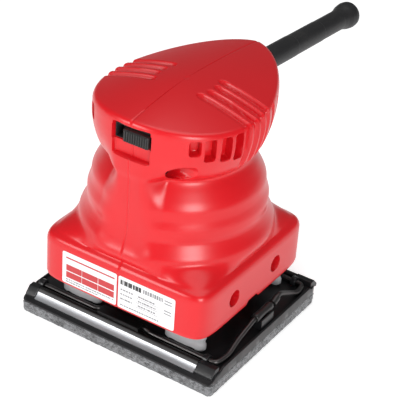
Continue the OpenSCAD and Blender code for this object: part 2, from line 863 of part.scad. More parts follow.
module platen_screw() {
  color("silver")
    translate([0, 0, platen_bearing[5]])
      rotate([180, 0, 0]) {
        tube(platen_bearing[0] / 2 + 1.2, 2, 1.2);
        translate([0, 0, 1.2])
          pan_screw(4, 8.6, 7.6, 2.4);
      }
}
leg_block_h = body_gap - 0.9;
module flexible_legs() {
  color("lightgray")
    for (sx = [-1, 1], sy = [-1, 1])
      translate([sx * leg_x, sy * leg_y, plate_top])
        difference() {
          union() {
            for (ex = [-1, 1])
              translate([ex * leg_lobe_x, 0, 0])
                cylinder(r = leg_lobe_r, h = leg_block_h, $fn = 32);
            translate([-leg_lobe_x, -leg_lobe_r + 1, 0])
              cube([2 * leg_lobe_x, 2 * leg_lobe_r - 2, leg_block_h]);
            translate([0, 0, leg_block_h - 1])
              cylinder(r = leg_r, h = leg_top_z - plate_top - leg_block_h + 1, $fn = 32);
          }
          translate([0, 0, -1])
            cylinder(d = 3.6, h = 9, $fn = 24);
        }
}
module leg_screws() {
  color("silver")
    for (sx = [-1, 1], sy = [-1, 1])
      translate([sx * leg_x, sy * leg_y, plate_z + 2.4])
        rotate([180, 0, 0])
          pan_screw(3.6, plate_t - 2.4 + 8, 7.6, 2.2);
}

// ---------------------------------------------------------------- clamps
grip_r = 2.3;
lever_x = 51;
grip_y = [-6, 8.5];
grip_z = plate_top + 7;
module lever_catch() {
  color([0.08, 0.08, 0.09])
    translate([lever_x, (grip_y[0] + grip_y[1]) / 2, plate_top])
      difference() {
        translate([-3.4, -5.5, 0])
          cube([6.8, 11, 6.2]);
        translate([0, -10, grip_z - plate_top])
          rotate([-90, 0, 0])
            cylinder(r = grip_r + move_gap, h = 20, $fn = 32);
      }
}
module clamp_rods() {
  color("silver")
    for (end = [-1, 1])
      along_x(end * rod_y, rod_z, lug_left_x)
        cylinder(d = rod_d, h = lug_right_x + lug_t - lug_left_x, $fn = 32);
}
// Bent strip that rolls round its rod: a lip over the shoulder and a tail over the crank
module clamp_strip(end) {
  tail_z = lever_z + crank + wire_d / 2 + tail_gap;
  lip_bend = 2.4;
  lip_end = 4.9;
  lip_t = strip_t * 1.2;
  length = strip_x[1] - strip_x[0];
  color("silver")
    translate([strip_x[0], 0, 0])
      rotate([90, 0, 90])
        difference() {
          union() {
            linear_extrude(length) {
              translate([end * rod_y, rod_z])
                circle(r = roll_r, $fn = 32);
              polygon([
                [end * (rod_y + 0.7 * roll_r), rod_z + 0.7 * roll_r],
                [end * (rod_y + lip_bend), shoulder(lip_bend) + lip_gap + lip_t],
                [end * (rod_y + lip_end), shoulder(lip_end) + lip_gap + lip_t],
                [end * (rod_y + lip_end), shoulder(lip_end) + lip_gap],
                [end * (rod_y + lip_bend), shoulder(lip_bend) + lip_gap],
                [end * (rod_y + 0.7 * roll_r), rod_z - 0.4 * roll_r]
              ]);
            }
            translate([0, 0, length / 2 - 12])
              linear_extrude(24)
                polygon([
                  [end * (rod_y + 0.2), rod_z + roll_r - 0.5],
                  [end * (rod_y + 0.9), tail_z + strip_t],
                  [end * (lever_y - 0.5), tail_z + strip_t], [end * (lever_y - 0.5), tail_z],
                  [end * (rod_y + 0.1), tail_z], [end * (rod_y - 0.4), rod_z + roll_r - 0.5]
                ]);
          }
          translate([end * rod_y, rod_z, -1])
            cylinder(d = rod_d + 2 * run_gap, h = length + 2, $fn = 32);
        }
}
module front_clamp_strip() {
  clamp_strip(-1);
}
module rear_clamp_strip() {
  clamp_strip(1);
}
// Part of a lever that lies along the clamp, with its crank under the strip's tail
lever_bend_x = lug_right_x + lug_t + wire_d + 0.8;
function lever_bar(end) = [
  [lug_left_x - 1, end * lever_y, lever_z], [-18, end * lever_y, lever_z],
  [-16, end * lever_y, lever_z + crank], [12, end * lever_y, lever_z + crank],
  [14, end * lever_y, lever_z], [lever_bend_x, end * lever_y, lever_z]
];
front_arm = [
  [52.3, -lever_y + 6, lever_z], [52.4, -lever_y + 10, lever_z + 0.1],
  [51.2, -21, plate_top + 3.6], [lever_x, -9, plate_top + 6.4],
  [lever_x, grip_y[0] - 1, grip_z], [lever_x, grip_y[1] + 1, grip_z]
];
rear_arm = [
  [52.4, lever_y - 5, lever_z], [52.6, lever_y - 8, lever_z + 0.2],
  [51.6, 29, plate_top + 3], [lever_x - 0.2, 18, plate_top + 8.6],
  [lever_x, 15.5, plate_top + 8.6], [lever_x, 11.5, grip_z]
];
module front_lever() {
  color("dimgray")
    wire(concat(lever_bar(-1), front_arm), wire_d);
}
module rear_lever() {
  color("dimgray")
    wire(concat(lever_bar(1), rear_arm), wire_d);
}
module front_lever_grip() {
  color("black")
    translate([lever_x, grip_y[0], grip_z])
      rotate([-90, 0, 0])
        tube(grip_r, wire_d / 2 + run_gap, grip_y[1] - grip_y[0]);
}
module rear_lever_grip() {
  tip = rear_arm[len(rear_arm) - 1];
  step = tip - rear_arm[len(rear_arm) - 2];
  color("black")
    translate(tip)
      rotate([0, acos(step.z / norm(step)), atan2(step.y, step.x)])
        translate([0, 0, -3.6])
          tube(grip_r - 0.4, wire_d / 2 + run_gap, 4.2);
}

module upper_bearing_outer() {
  at_motor(upper_bearing[5])
    bearing_outer(upper_bearing);
}
module upper_bearing_balls() {
  at_motor(upper_bearing[5])
    bearing_balls(upper_bearing);
}
module upper_bearing_inner() {
  at_motor(upper_bearing[5])
    bearing_inner(upper_bearing);
}
module lower_bearing_outer() {
  at_motor(lower_bearing[5])
    bearing_outer(lower_bearing);
}
module lower_bearing_balls() {
  at_motor(lower_bearing[5])
    bearing_balls(lower_bearing);
}
module lower_bearing_inner() {
  at_motor(lower_bearing[5])
    bearing_inner(lower_bearing);
}
module platen_bearing_outer() {
  translate([0, 0, platen_bearing[5]])
    bearing_outer(platen_bearing);
}
module platen_bearing_balls() {
  translate([0, 0, platen_bearing[5]])
    bearing_balls(platen_bearing);
}
module platen_bearing_inner() {
  translate([0, 0, platen_bearing[5]])
    bearing_inner(platen_bearing);
}

housing_right();
housing_left();
housing_screws();
rating_label_left();
rating_label_right();
switch_body();
switch_slider();
cord_guard();
cord_clamp();
cord_clamp_screws();
stator_core();
field_coils();
brush_holders();
carbon_brushes();
brush_springs();
suppression_capacitor();
upper_bearing_outer();
upper_bearing_balls();
upper_bearing_inner();
lower_bearing_outer();
lower_bearing_balls();
lower_bearing_inner();
rotor_shaft();
armature_core();
armature_windings();
commutator();
cooling_fan();
eccentric();
counterweight();
platen_bearing_inner();
platen_bearing_balls();
platen_bearing_outer();
platen_screw();
bearing_retainer();
retainer_screws();
base_plate();
sanding_pad();
flexible_legs();
leg_screws();
lever_catch();
clamp_rods();
front_clamp_strip();
front_lever();
front_lever_grip();
rear_clamp_strip();
rear_lever();
rear_lever_grip();
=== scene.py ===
"""Looks of the quarter-sheet orbital sander.

Lengths in the making functions are millimetres in the sander's own frame (+X its right side,
-Y its front, +Z up, origin at the middle of the platen's lower face); a mesh gets metres at the
very end, in new_piece().
"""
import math

import bpy
import numpy as np
from mathutils import Matrix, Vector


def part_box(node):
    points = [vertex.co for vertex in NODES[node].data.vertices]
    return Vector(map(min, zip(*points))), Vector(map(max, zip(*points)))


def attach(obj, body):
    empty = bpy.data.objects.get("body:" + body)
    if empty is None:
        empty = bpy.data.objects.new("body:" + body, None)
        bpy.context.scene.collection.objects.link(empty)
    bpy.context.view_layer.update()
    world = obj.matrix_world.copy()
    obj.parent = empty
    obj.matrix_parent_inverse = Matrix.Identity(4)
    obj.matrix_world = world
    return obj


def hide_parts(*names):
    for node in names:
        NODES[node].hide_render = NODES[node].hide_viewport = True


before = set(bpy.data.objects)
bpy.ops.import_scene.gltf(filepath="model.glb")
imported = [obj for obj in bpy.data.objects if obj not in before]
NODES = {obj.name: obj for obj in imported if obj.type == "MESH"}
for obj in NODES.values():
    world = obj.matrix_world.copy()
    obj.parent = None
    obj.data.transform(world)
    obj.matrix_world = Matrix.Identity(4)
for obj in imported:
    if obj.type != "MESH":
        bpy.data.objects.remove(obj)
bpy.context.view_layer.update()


def box_mm(node):
    """Lowest and highest corner of a CAD node, in millimetres."""
    low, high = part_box(node)
    return np.array(low) * 1000, np.array(high) * 1000


# ------------------------------------------------------------------ sizes, from the frame
casing_low, casing_high = box_mm("housing_right")
_, pad_high = box_mm("sanding_pad")
BODY_Z = casing_low[2]                # lower edge of the skirt
BODY_HALF_W = casing_high[0]
BODY_FRONT = -casing_low[1]
HEAD_REAR = casing_high[1]
CROWN_Z = casing_high[2]
PAD_TOP = pad_high[2]
PLATE_TOP = PAD_TOP + 4.4
SHOULDER_Z = BODY_Z + 23.5
NECK_Z = SHOULDER_Z + 45
EDGE_Z = NECK_Z + 30
BODY_REAR = 45.2
HEAD_HALF_W = 40.9
HEAD_FRONT = 44.0
NECK_R = 34.3
RIDGE_R = 43.6
WALL = 2.4


# ------------------------------------------------------------------ curves and noise
def smooth(a, b, x):
    """0 below a, 1 above b, and an S-shaped rise between them."""
    u = np.clip((x - a) / (b - a), 0, 1)
    return u * u * (3 - 2 * u)


def mix(a, b, w):
    """a at w = 0, b at w = 1: a (1 - w) + b w."""
    return a * (1 - w) + b * w


def curve(x, table):
    """Smooth curve through (position, value) pairs: a cubic in each span, whose slope at a pair
    is the harmonic mean of the two chords there, or 0 where they differ in sign."""
    xs, ys = np.array(table, float).T
    chord = np.diff(ys) / np.diff(xs)
    left, right = chord[:-1], chord[1:]
    same = left * right > 0
    inner = np.where(same, 2 * left * right / np.where(same, left + right, 1), 0)
    slope = np.concatenate([chord[:1], inner, chord[-1:]])
    x = np.clip(x, xs[0], xs[-1])
    k = np.clip(np.searchsorted(xs, x, side="right") - 1, 0, len(xs) - 2)
    h = (xs[1:] - xs[:-1])[k]
    u = (x - xs[k]) / h
    return (ys[k] * (1 + 2 * u) * (1 - u) ** 2 + ys[k + 1] * u * u * (3 - 2 * u)
            + h * slope[k] * u * (1 - u) ** 2 + h * slope[k + 1] * u * u * (u - 1))


def ripple(points, size, seed, waves=24):
    """Smooth random field between about -1 and 1 with features of the given size: a sum of
    plane sine waves whose directions and phases come from the seed."""
    rng = np.random.default_rng(seed)
    way = rng.normal(size=(waves, 3))
    wave_number = (2 * np.pi / size) * rng.uniform(0.6, 1.4, (waves, 1))
    way *= wave_number / np.linalg.norm(way, axis=1)[:, None]
    turn = rng.uniform(0, 2 * np.pi, waves)
    return np.sin(points @ way.T + turn).sum(-1) / math.sqrt(waves / 2) * 0.5


# ------------------------------------------------------------------ mesh helpers
def grid_faces(rows, cols, wrap=False, first=0):
    """Quads of a grid of rows x cols points; wrap joins the last column to the first."""
    i, j = np.meshgrid(np.arange(rows - 1), np.arange(cols if wrap else cols - 1), indexing="ij")
    k = (j + 1) % cols
    quads = np.stack([i * cols + j, i * cols + k, (i + 1) * cols + k, (i + 1) * cols + j], -1)
    return quads.reshape(-1, 4) + first


def new_piece(name, points, faces, body, material, replaces=(), smooth_angle=40, slot=None):
    """Object from points in millimetres and a list of face arrays, riding on a CAD body."""
    mesh = bpy.data.meshes.new(name)
    loops = [tuple(f) for block in faces for f in np.asarray(block).tolist()]
    mesh.from_pydata((np.asarray(points, float) / 1000).tolist(), [], loops)
    mesh.validate()
    mesh.polygons.foreach_set("use_smooth", np.ones(len(mesh.polygons), bool))
    if smooth_angle < 180:
        mesh.set_sharp_from_angle(angle=math.radians(smooth_angle))
    mesh.materials.append(material)
    piece = bpy.data.objects.new(name, mesh)
    bpy.context.scene.collection.objects.link(piece)
    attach(piece, body)
    if replaces:
        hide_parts(*replaces)
    return piece


class Solid:
    """Collects closed shells, each a block of points and faces, into one mesh."""

    def __init__(self):
        self.points = []
        self.faces = []
        self.count = 0

    def add(self, points, *blocks):
        """One closed shell, turned outwards if its signed volume is below zero."""
        points = np.asarray(points, float).reshape(-1, 3)
        blocks = [np.asarray(block) for block in blocks]
        volume = 0
        for block in blocks:
            a = points[block[:, 0]]
            for k in range(1, block.shape[1] - 1):
                b, c = points[block[:, k]], points[block[:, k + 1]]
                volume += np.einsum("ij,ij->", a, np.cross(b, c))
        for block in blocks:
            self.faces.append((block if volume > 0 else block[:, ::-1]) + self.count)
        self.points.append(points)
        self.count += len(points)

    def piece(self, name, body, material, **options):
        """One object from all the shells collected so far."""
        return new_piece(name, np.concatenate(self.points), self.faces, body, material, **options)


def tube_shell(solid, rings):
    """Closed skin over rings (n x around x 3), running round counter-clockwise as seen from the
    last ring's side, with a flat cap on each end."""
    n, around = rings.shape[:2]
    solid.add(rings, grid_faces(n, around, wrap=True),
              [list(range(around))[::-1]], [list(range((n - 1) * around, n * around))])


def lathe(solid, profile, centre=(0, 0, 0), axis=(0, 0, 1), around=96, closed=True):
    """Turns a profile of (radius, height) points about an axis through centre. The profile runs
    counter-clockwise round the material in the radius-height plane."""
    profile = np.asarray(profile, float)
    axis = np.asarray(axis, float) / np.linalg.norm(axis)
    side = np.cross([0, 1, 0] if abs(axis[1]) < 0.9 else [0, 0, 1], axis)
    side /= np.linalg.norm(side)
    other = np.cross(axis, side)
    a = np.linspace(0, 2 * np.pi, around, endpoint=False)
    spoke = np.cos(a)[:, None] * side + np.sin(a)[:, None] * other
    points = (np.asarray(centre, float) + profile[:, None, :1] * spoke[None]
              + profile[:, None, 1:] * axis)
    if closed:
        points = np.concatenate([points, points[:1]])
    quads = grid_faces(len(points), around, wrap=True)
    if closed:
        rows = len(profile)
        quads = np.where(quads >= rows * around, quads - rows * around, quads)
        points = points[:-1]
    solid.add(points, quads)


def rounded_profile(corners, radii, steps=4):
    """Closed outline through corners, each rounded by its own radius with an arc of steps."""
    corners = np.asarray(corners, float)
    n = len(corners)
    radii = np.broadcast_to(radii, n)
    out = []
    for i in range(n):
        p, a, b = corners[i], corners[i - 1], corners[(i + 1) % n]
        to_a, to_b = (a - p) / np.linalg.norm(a - p), (b - p) / np.linalg.norm(b - p)
        half = math.acos(np.clip(to_a @ to_b, -1, 1)) / 2
        if radii[i] <= 0 or half > math.pi / 2 - 0.02:
            out.append(p[None])
            continue
        middle = p + (to_a + to_b) / np.linalg.norm(to_a + to_b) * radii[i] / math.sin(half)
        start = p + to_a * radii[i] / math.tan(half) - middle
        end = p + to_b * radii[i] / math.tan(half) - middle
        turn = math.atan2(start[0] * end[1] - start[1] * end[0], start @ end)
        t = np.linspace(0, turn, steps + 1)[:, None]
        out.append(middle + start * np.cos(t) + np.array([-start[1], start[0]]) * np.sin(t))
    return np.concatenate(out)


def bar(solid, outline, lengths, scales, place):
    """Closed prism: an outline (counter-clockwise in its own u-v plane) set at each length with
    its own inward offset, and carried to space by place(u, v, w)."""
    outline = np.asarray(outline, float)
    ahead, behind = np.roll(outline, -1, 0), np.roll(outline, 1, 0)
    tangent = ahead - behind
    normal = np.stack([tangent[:, 1], -tangent[:, 0]], -1)
    normal /= np.maximum(np.linalg.norm(normal, axis=1), 1e-9)[:, None]
    rings = np.stack([place(*(outline - normal * s).T, w) for w, s in zip(lengths, scales)])
    tube_shell(solid, rings)


def sweep(solid, path, radii, around=20):
    """Round wire: a circle carried along a path that is never upright, with round ends."""
    path = np.asarray(path, float)
    step = np.gradient(path, axis=0)
    step /= np.linalg.norm(step, axis=1)[:, None]
    side = np.cross([0, 0, 1], step)
    side /= np.linalg.norm(side, axis=1)[:, None]
    up = np.cross(step, side)
    a = np.linspace(0, 2 * np.pi, around, endpoint=False)
    radii = np.broadcast_to(radii, len(path))[:, None, None]
    rings = path[:, None] + radii * (np.cos(a)[None, :, None] * side[:, None]
                                     + np.sin(a)[None, :, None] * up[:, None])
    tube_shell(solid, rings)


def rounded_path(points, reach, steps=6):
    """Path with each inner corner replaced by a parabola that starts reach before it."""
    points = np.asarray(points, float)
    out = [points[:1]]
    for a, p, b in zip(points[:-2], points[1:-1], points[2:]):
        start = (a - p) * min(0.45, reach / np.linalg.norm(a - p))
        end = (b - p) * min(0.45, reach / np.linalg.norm(b - p))
        u = np.linspace(0, 1, steps + 1)[:, None]
        out.append(p + start * (1 - u) ** 2 + end * u ** 2)
    out.append(points[-1:])
    return np.concatenate(out)


def round_ends(path, radius, steps=5):
    """Path lengthened at both ends by a quarter round, with the radius at each of its points."""
    t = np.linspace(0, np.pi / 2, steps + 1)[:-1]
    first = path[0] - path[1]
    first /= np.linalg.norm(first)
    last = path[-1] - path[-2]
    last /= np.linalg.norm(last)
    head = path[0] + first * (radius * 0.5 * np.cos(t))[:, None]
    tail = path[-1] + last * (radius * 0.5 * np.cos(t[::-1]))[:, None]
    grow = radius * np.maximum(np.sin(t), 0.15)
    return (np.concatenate([head, path, tail]),
            np.concatenate([grow, np.full(len(path), radius), grow[::-1]]))


# ------------------------------------------------------------------ shader groups
def socket_value(node, **values):
    """Sets inputs by name, with _ for a space."""
    for name, value in values.items():
        node.inputs[name.replace("_", " ")].default_value = value


def new_group(name, inputs, outputs):
    """Node group with float inputs {name: default} and outputs {name: type}."""
    group = bpy.data.node_groups.new(name, "ShaderNodeTree")
    for label, value in inputs.items():
        kind = "NodeSocketColor" if isinstance(value, tuple) else "NodeSocketFloat"
        made = group.interface.new_socket(label, in_out="INPUT", socket_type=kind)
        made.default_value = value
    for label, kind in outputs.items():
        group.interface.new_socket(label, in_out="OUTPUT", socket_type=kind)
    return group, group.nodes.new("NodeGroupInput"), group.nodes.new("NodeGroupOutput")


def math_node(tree, operation, a, b=None, c=None, clamp=False):
    """Output of one maths node; each input is a number or another node's output."""
    node = tree.nodes.new("ShaderNodeMath")
    node.operation = operation
    node.use_clamp = clamp
    for socket, value in zip(node.inputs, (a, b, c)):
        if value is None:
            continue
        if isinstance(value, (int, float)):
            socket.default_value = value
        else:
            tree.links.new(value, socket)
    return node.outputs[0]


def mix_colour(tree, factor, a, b):
    """Colour a at factor 0 and b at factor 1; a colour has three or four values."""
    node = tree.nodes.new("ShaderNodeMix")
    node.data_type = "RGBA"
    for socket, value in ((node.inputs[0], factor), (node.inputs[6], a), (node.inputs[7], b)):
        if isinstance(value, (int, float)):
            socket.default_value = value
        elif isinstance(value, tuple):
            socket.default_value = value if len(value) == 4 else (*value, 1)
        else:
            tree.links.new(value, socket)
    return node.outputs[2]


def noise_node(tree, scale, detail=2, roughness=0.5, stretch=None):
    """Noise over object coordinates; stretch divides the pattern's size along each axis."""
    place = tree.nodes.new("ShaderNodeTexCoord")
    out = place.outputs["Object"]
    if stretch:
        turn = tree.nodes.new("ShaderNodeMapping")
        turn.inputs["Scale"].default_value = stretch
        tree.links.new(out, turn.inputs["Vector"])
        out = turn.outputs[0]
    node = tree.nodes.new("ShaderNodeTexNoise")
    tree.links.new(out, node.inputs["Vector"])
    node.inputs["Detail"].default_value = detail
    node.inputs["Roughness"].default_value = roughness
    if isinstance(scale, (int, float)):
        node.inputs["Scale"].default_value = scale
    else:
        tree.links.new(scale, node.inputs["Scale"])
    return node.outputs["Fac"]


def make_mould_grain():
    """Moulded plastic: a fine even grain, a broad tone that wanders a little, and faint rubs."""
    group, given, out = new_group(
        "mould grain", {"Scale": 900.0, "Tone": 0.06, "Rubs": 0.3},
        {"Height": "NodeSocketFloat", "Tone": "NodeSocketFloat", "Rubs": "NodeSocketFloat"})
    fine = noise_node(group, given.outputs["Scale"], 3, 0.6)
    broad = noise_node(group, 28, 3, 0.55)
    swing = math_node(group, "SUBTRACT", broad, 0.5)
    tone = math_node(group, "MULTIPLY_ADD", swing, given.outputs["Tone"], 0.5)
    streak = noise_node(group, 260, 4, 0.7, (0.25, 1.0, 1.6))
    sharp = math_node(group, "MULTIPLY_ADD", streak, 7.0, -4.3, clamp=True)
    rubs = math_node(group, "MULTIPLY", sharp, given.outputs["Rubs"])
    group.links.new(fine, out.inputs["Height"])
    group.links.new(tone, out.inputs["Tone"])
    group.links.new(rubs, out.inputs["Rubs"])
    return group


def make_brushing():
    """Rolled or drawn metal: long fine lines along X, Y or Z, given by the stretch of each."""
    group, given, out = new_group(
        "brushing", {"Along X": 0.06, "Along Y": 1.0, "Along Z": 1.0, "Scale": 1500.0},
        {"Height": "NodeSocketFloat", "Tone": "NodeSocketFloat"})
    place = group.nodes.new("ShaderNodeTexCoord")
    stretch = group.nodes.new("ShaderNodeCombineXYZ")
    for axis in "XYZ":
        group.links.new(given.outputs[f"Along {axis}"], stretch.inputs[axis])
    scaled = group.nodes.new("ShaderNodeVectorMath")
    scaled.operation = "MULTIPLY"
    group.links.new(place.outputs["Object"], scaled.inputs[0])
    group.links.new(stretch.outputs[0], scaled.inputs[1])
    for label, factor, detail in (("Height", 1.0, 3), ("Tone", 0.12, 4)):
        lines = group.nodes.new("ShaderNodeTexNoise")
        group.links.new(scaled.outputs[0], lines.inputs["Vector"])
        size = math_node(group, "MULTIPLY", given.outputs["Scale"], factor)
        group.links.new(size, lines.inputs["Scale"])
        lines.inputs["Detail"].default_value = detail
        group.links.new(lines.outputs["Fac"], out.inputs[label])
    return group


def make_dust():
    """Fine sanding dust: thickest on faces that look up, in soft uneven patches and specks."""
    group, given, out = new_group("dust", {"Amount": 0.3}, {"Mask": "NodeSocketFloat"})
    shape = group.nodes.new("ShaderNodeNewGeometry")
    parts = group.nodes.new("ShaderNodeSeparateXYZ")
    group.links.new(shape.outputs["Normal"], parts.inputs[0])
    facing = math_node(group, "MULTIPLY_ADD", parts.outputs["Z"], 0.5, 0.5, clamp=True)
    patch = noise_node(group, 45, 5, 0.65)
    speck = noise_node(group, 1400, 2, 0.5)
    both = math_node(group, "MULTIPLY", patch, speck)
    raised = math_node(group, "MULTIPLY_ADD", both, 5.0, -1.25, clamp=True)
    shown = math_node(group, "MULTIPLY", raised, facing)
    mask = math_node(group, "MULTIPLY", shown, given.outputs["Amount"])
    group.links.new(mask, out.inputs["Mask"])
    return group


def make_felt_fibres():
    """Pressed felt: dark and light fibres matted together, in short strokes over a cloudy tone."""
    group, given, out = new_group(
        "felt fibres", {"Scale": 1100.0}, {"Tone": "NodeSocketFloat", "Height": "NodeSocketFloat"})
    strokes = noise_node(group, given.outputs["Scale"], 4, 0.75, (0.55, 0.55, 1.3))
    tufts = noise_node(group, 420, 3, 0.6)
    clouds = noise_node(group, 90, 2, 0.5)
    mixed = math_node(group, "MULTIPLY_ADD", strokes, 1.5, -0.25)
    mixed = math_node(group, "MULTIPLY_ADD", tufts, 0.9, mixed)
    mixed = math_node(group, "MULTIPLY_ADD", clouds, 0.35, mixed)
    tone = math_node(group, "MULTIPLY_ADD", mixed, 2.6, -2.35, clamp=True)
    group.links.new(tone, out.inputs["Tone"])
    group.links.new(mixed, out.inputs["Height"])
    return group


MOULD_GRAIN = make_mould_grain()
BRUSHING = make_brushing()
DUST = make_dust()
FELT_FIBRES = make_felt_fibres()


# ------------------------------------------------------------------ materials
def new_material(name, rough, metallic=0.0, **sockets):
    """Material with a Principled BSDF; extra words set its sockets by name."""
    material = bpy.data.materials.new(name)
    material.use_nodes = True
    shader = material.node_tree.nodes["Principled BSDF"]
    shader.inputs["Roughness"].default_value = rough
    shader.inputs["Metallic"].default_value = metallic
    socket_value(shader, **sockets)
    return material, material.node_tree, shader


def use_group(tree, group, **values):
    """Node that runs a group with the given input values."""
    node = tree.nodes.new("ShaderNodeGroup")
    node.node_tree = group
    socket_value(node, **values)
    return node


def bump(tree, shader, height, strength, distance):
    """Tilts the shader's normal by a height; distance is in metres."""
    node = tree.nodes.new("ShaderNodeBump")
    node.inputs["Strength"].default_value = strength
    node.inputs["Distance"].default_value = distance
    tree.links.new(height, node.inputs["Height"])
    tree.links.new(node.outputs[0], shader.inputs["Normal"])


def moulded_plastic(name, colour, rough, grain=900, depth=0.02, tone=0.35, dust=0.0, **sockets):
    """Moulded plastic or rubber in one colour, with grain, faint rubs and some dust."""
    material, tree, shader = new_material(name, rough, **sockets)
    finish = use_group(tree, MOULD_GRAIN, Scale=float(grain), Tone=tone, Rubs=0.25)
    dark = tuple(c * 0.8 for c in colour)
    light = tuple(min(1, c * 1.2 + 0.002) for c in colour)
    base = mix_colour(tree, finish.outputs["Tone"], dark, light)
    if dust:
        veil = use_group(tree, DUST, Amount=dust)
        base = mix_colour(tree, veil.outputs["Mask"], base, (0.42, 0.38, 0.33))
    tree.links.new(base, shader.inputs["Base Color"])
    worn = math_node(tree, "MULTIPLY_ADD", finish.outputs["Rubs"], 0.35, rough)
    tree.links.new(worn, shader.inputs["Roughness"])
    bump(tree, shader, finish.outputs["Height"], depth, 0.0004)
    return material


def band(tree, low, high, soft):
    """1 between two heights in metres and 0 outside, with soft edges."""
    place = tree.nodes.new("ShaderNodeTexCoord")
    split = tree.nodes.new("ShaderNodeSeparateXYZ")
    tree.links.new(place.outputs["Object"], split.inputs[0])
    rise = math_node(tree, "MULTIPLY_ADD", split.outputs["Z"], 1 / soft, -low / soft, clamp=True)
    fall = math_node(tree, "MULTIPLY_ADD", split.outputs["Z"], -1 / soft, high / soft, clamp=True)
    return math_node(tree, "MULTIPLY", rise, fall)


def worked_metal(name, colour, rough, along=(0.06, 1, 1), scale=1500, depth=0.05, metallic=1.0,
                 painted_shade_band=None):
    """Metal with the fine lines of rolling, drawing or grinding, painted near black in one band of
    heights as painted shade.
    """
    material, tree, shader = new_material(name, rough, metallic)
    lines = use_group(tree, BRUSHING, Along_X=along[0], Along_Y=along[1], Along_Z=along[2],
                      Scale=float(scale))
    dark = tuple(c * 0.72 for c in colour)
    light = tuple(min(1, c * 1.2) for c in colour)
    base = mix_colour(tree, lines.outputs["Tone"], dark, light)
    if painted_shade_band:
        # painted shade: between the band's heights the colour turns near black, standing in for the
        # dark reflection and shade on the clamp strip's upper face and tail
        base = mix_colour(tree, band(tree, *painted_shade_band), base, (0.035, 0.034, 0.034))
    tree.links.new(base, shader.inputs["Base Color"])
    uneven = math_node(tree, "MULTIPLY_ADD", lines.outputs["Tone"], 0.25, rough - 0.1)
    tree.links.new(uneven, shader.inputs["Roughness"])
    bump(tree, shader, lines.outputs["Height"], depth, 0.0003)
    return material


def felt(name):
    """Grey felt: matted dark and pale fibres with a soft nap."""
    material, tree, shader = new_material(
        name, 0.95, Sheen_Weight=0.35, Sheen_Roughness=0.6, Specular_IOR_Level=0.15)
    fibres = use_group(tree, FELT_FIBRES, Scale=1100.0)
    base = mix_colour(tree, fibres.outputs["Tone"], (0.02, 0.021, 0.023), (0.22, 0.225, 0.235))
    tree.links.new(base, shader.inputs["Base Color"])
    bump(tree, shader, fibres.outputs["Height"], 0.9, 0.0006)
    return material


RED = moulded_plastic("red casing plastic", (0.60, 0.004, 0.009), 0.33, grain=1300, depth=0.015,
                      tone=0.25, Specular_IOR_Level=0.4, Coat_Weight=0.12, Coat_Roughness=0.22)
BLACK_PLATE = moulded_plastic("black platen plastic", (0.008, 0.008, 0.009), 0.28, grain=800,
                              depth=0.05, dust=0.02, Specular_IOR_Level=0.35)
BLACK_SWITCH = moulded_plastic("black switch plastic", (0.012, 0.012, 0.012), 0.42, grain=1500,
                               depth=0.05)
BLACK_RUBBER = moulded_plastic("black guard rubber", (0.011, 0.011, 0.012), 0.5, grain=1100,
                               depth=0.12, dust=0.05, Specular_IOR_Level=0.35)
GRIP_SLEEVE = moulded_plastic("black sleeve plastic", (0.014, 0.013, 0.013), 0.38, grain=700,
                              depth=0.1)
PALE_RUBBER = moulded_plastic("pale leg rubber", (0.36, 0.36, 0.37), 0.35, grain=600, depth=0.1,
                              tone=0.5, dust=0.1, Subsurface_Weight=0.15,
                              Subsurface_Radius=(0.004, 0.004, 0.004))
DARK_PLASTIC = moulded_plastic("dark inner plastic", (0.03, 0.03, 0.032), 0.5)
FAN_PLASTIC = moulded_plastic("ivory fan plastic", (0.62, 0.6, 0.52), 0.45, dust=0.2)
CAPACITOR = moulded_plastic("ochre moulded block", (0.5, 0.33, 0.05), 0.4)
CARBON = moulded_plastic("pressed carbon", (0.02, 0.02, 0.021), 0.7, grain=2000, depth=0.3)
FELT = felt("grey felt")
# the strip's upper face and tail, 11.6 to 20 mm up, are painted dark as painted reflection and
# shade
STRIP_STEEL = worked_metal("rolled strip steel", (0.5, 0.51, 0.53), 0.42, (0.05, 1, 1), 1800, 0.06,
                           painted_shade_band=(0.0116, 0.0200, 0.0002))
WIRE_STEEL = worked_metal("dark drawn wire", (0.09, 0.085, 0.085), 0.4, (1, 0.08, 1), 1600, 0.05)
ZINC_STEEL = worked_metal("zinc plated steel", (0.62, 0.63, 0.65), 0.35, (1, 1, 1), 900, 0.04)
GROUND_STEEL = worked_metal("ground steel", (0.58, 0.58, 0.6), 0.25, (1, 1, 0.05), 2200, 0.04)
BALL_STEEL = worked_metal("polished ball steel", (0.75, 0.75, 0.77), 0.16, (1, 1, 1), 600, 0.01)
IRON_SHEETS = worked_metal("stacked iron sheets", (0.17, 0.18, 0.2), 0.5, (0.05, 0.05, 1), 1900,
                           0.5)
CAST_IRON = worked_metal("cast weight", (0.2, 0.2, 0.21), 0.6, (1, 1, 1), 700, 0.4)
COPPER_WIRE = worked_metal("enamelled copper wire", (0.42, 0.13, 0.04), 0.35, (0.1, 0.1, 1), 1500,
                           0.7)
COPPER_BARS = worked_metal("turned copper", (0.72, 0.36, 0.2), 0.25, (1, 1, 0.05), 1500, 0.05)
BRASS = worked_metal("pressed brass", (0.62, 0.42, 0.14), 0.35, (1, 1, 1), 900, 0.05)
LABEL_PAPER = moulded_plastic("white label film", (0.76, 0.76, 0.77), 0.4, grain=500, depth=0.01,
                              tone=0.1)
LABEL_RED = moulded_plastic("red printing ink", (0.48, 0.03, 0.035), 0.45, grain=900, depth=0.02)
LABEL_BLACK = moulded_plastic("black printing ink", (0.03, 0.03, 0.03), 0.45, grain=900, depth=0.02)
LABEL_GREY = moulded_plastic("grey printing ink", (0.22, 0.22, 0.23), 0.45, grain=900, depth=0.02)
BLACK_STEEL = worked_metal("blackened screw steel", (0.05, 0.05, 0.055), 0.45, (1, 1, 1), 900, 0.08)


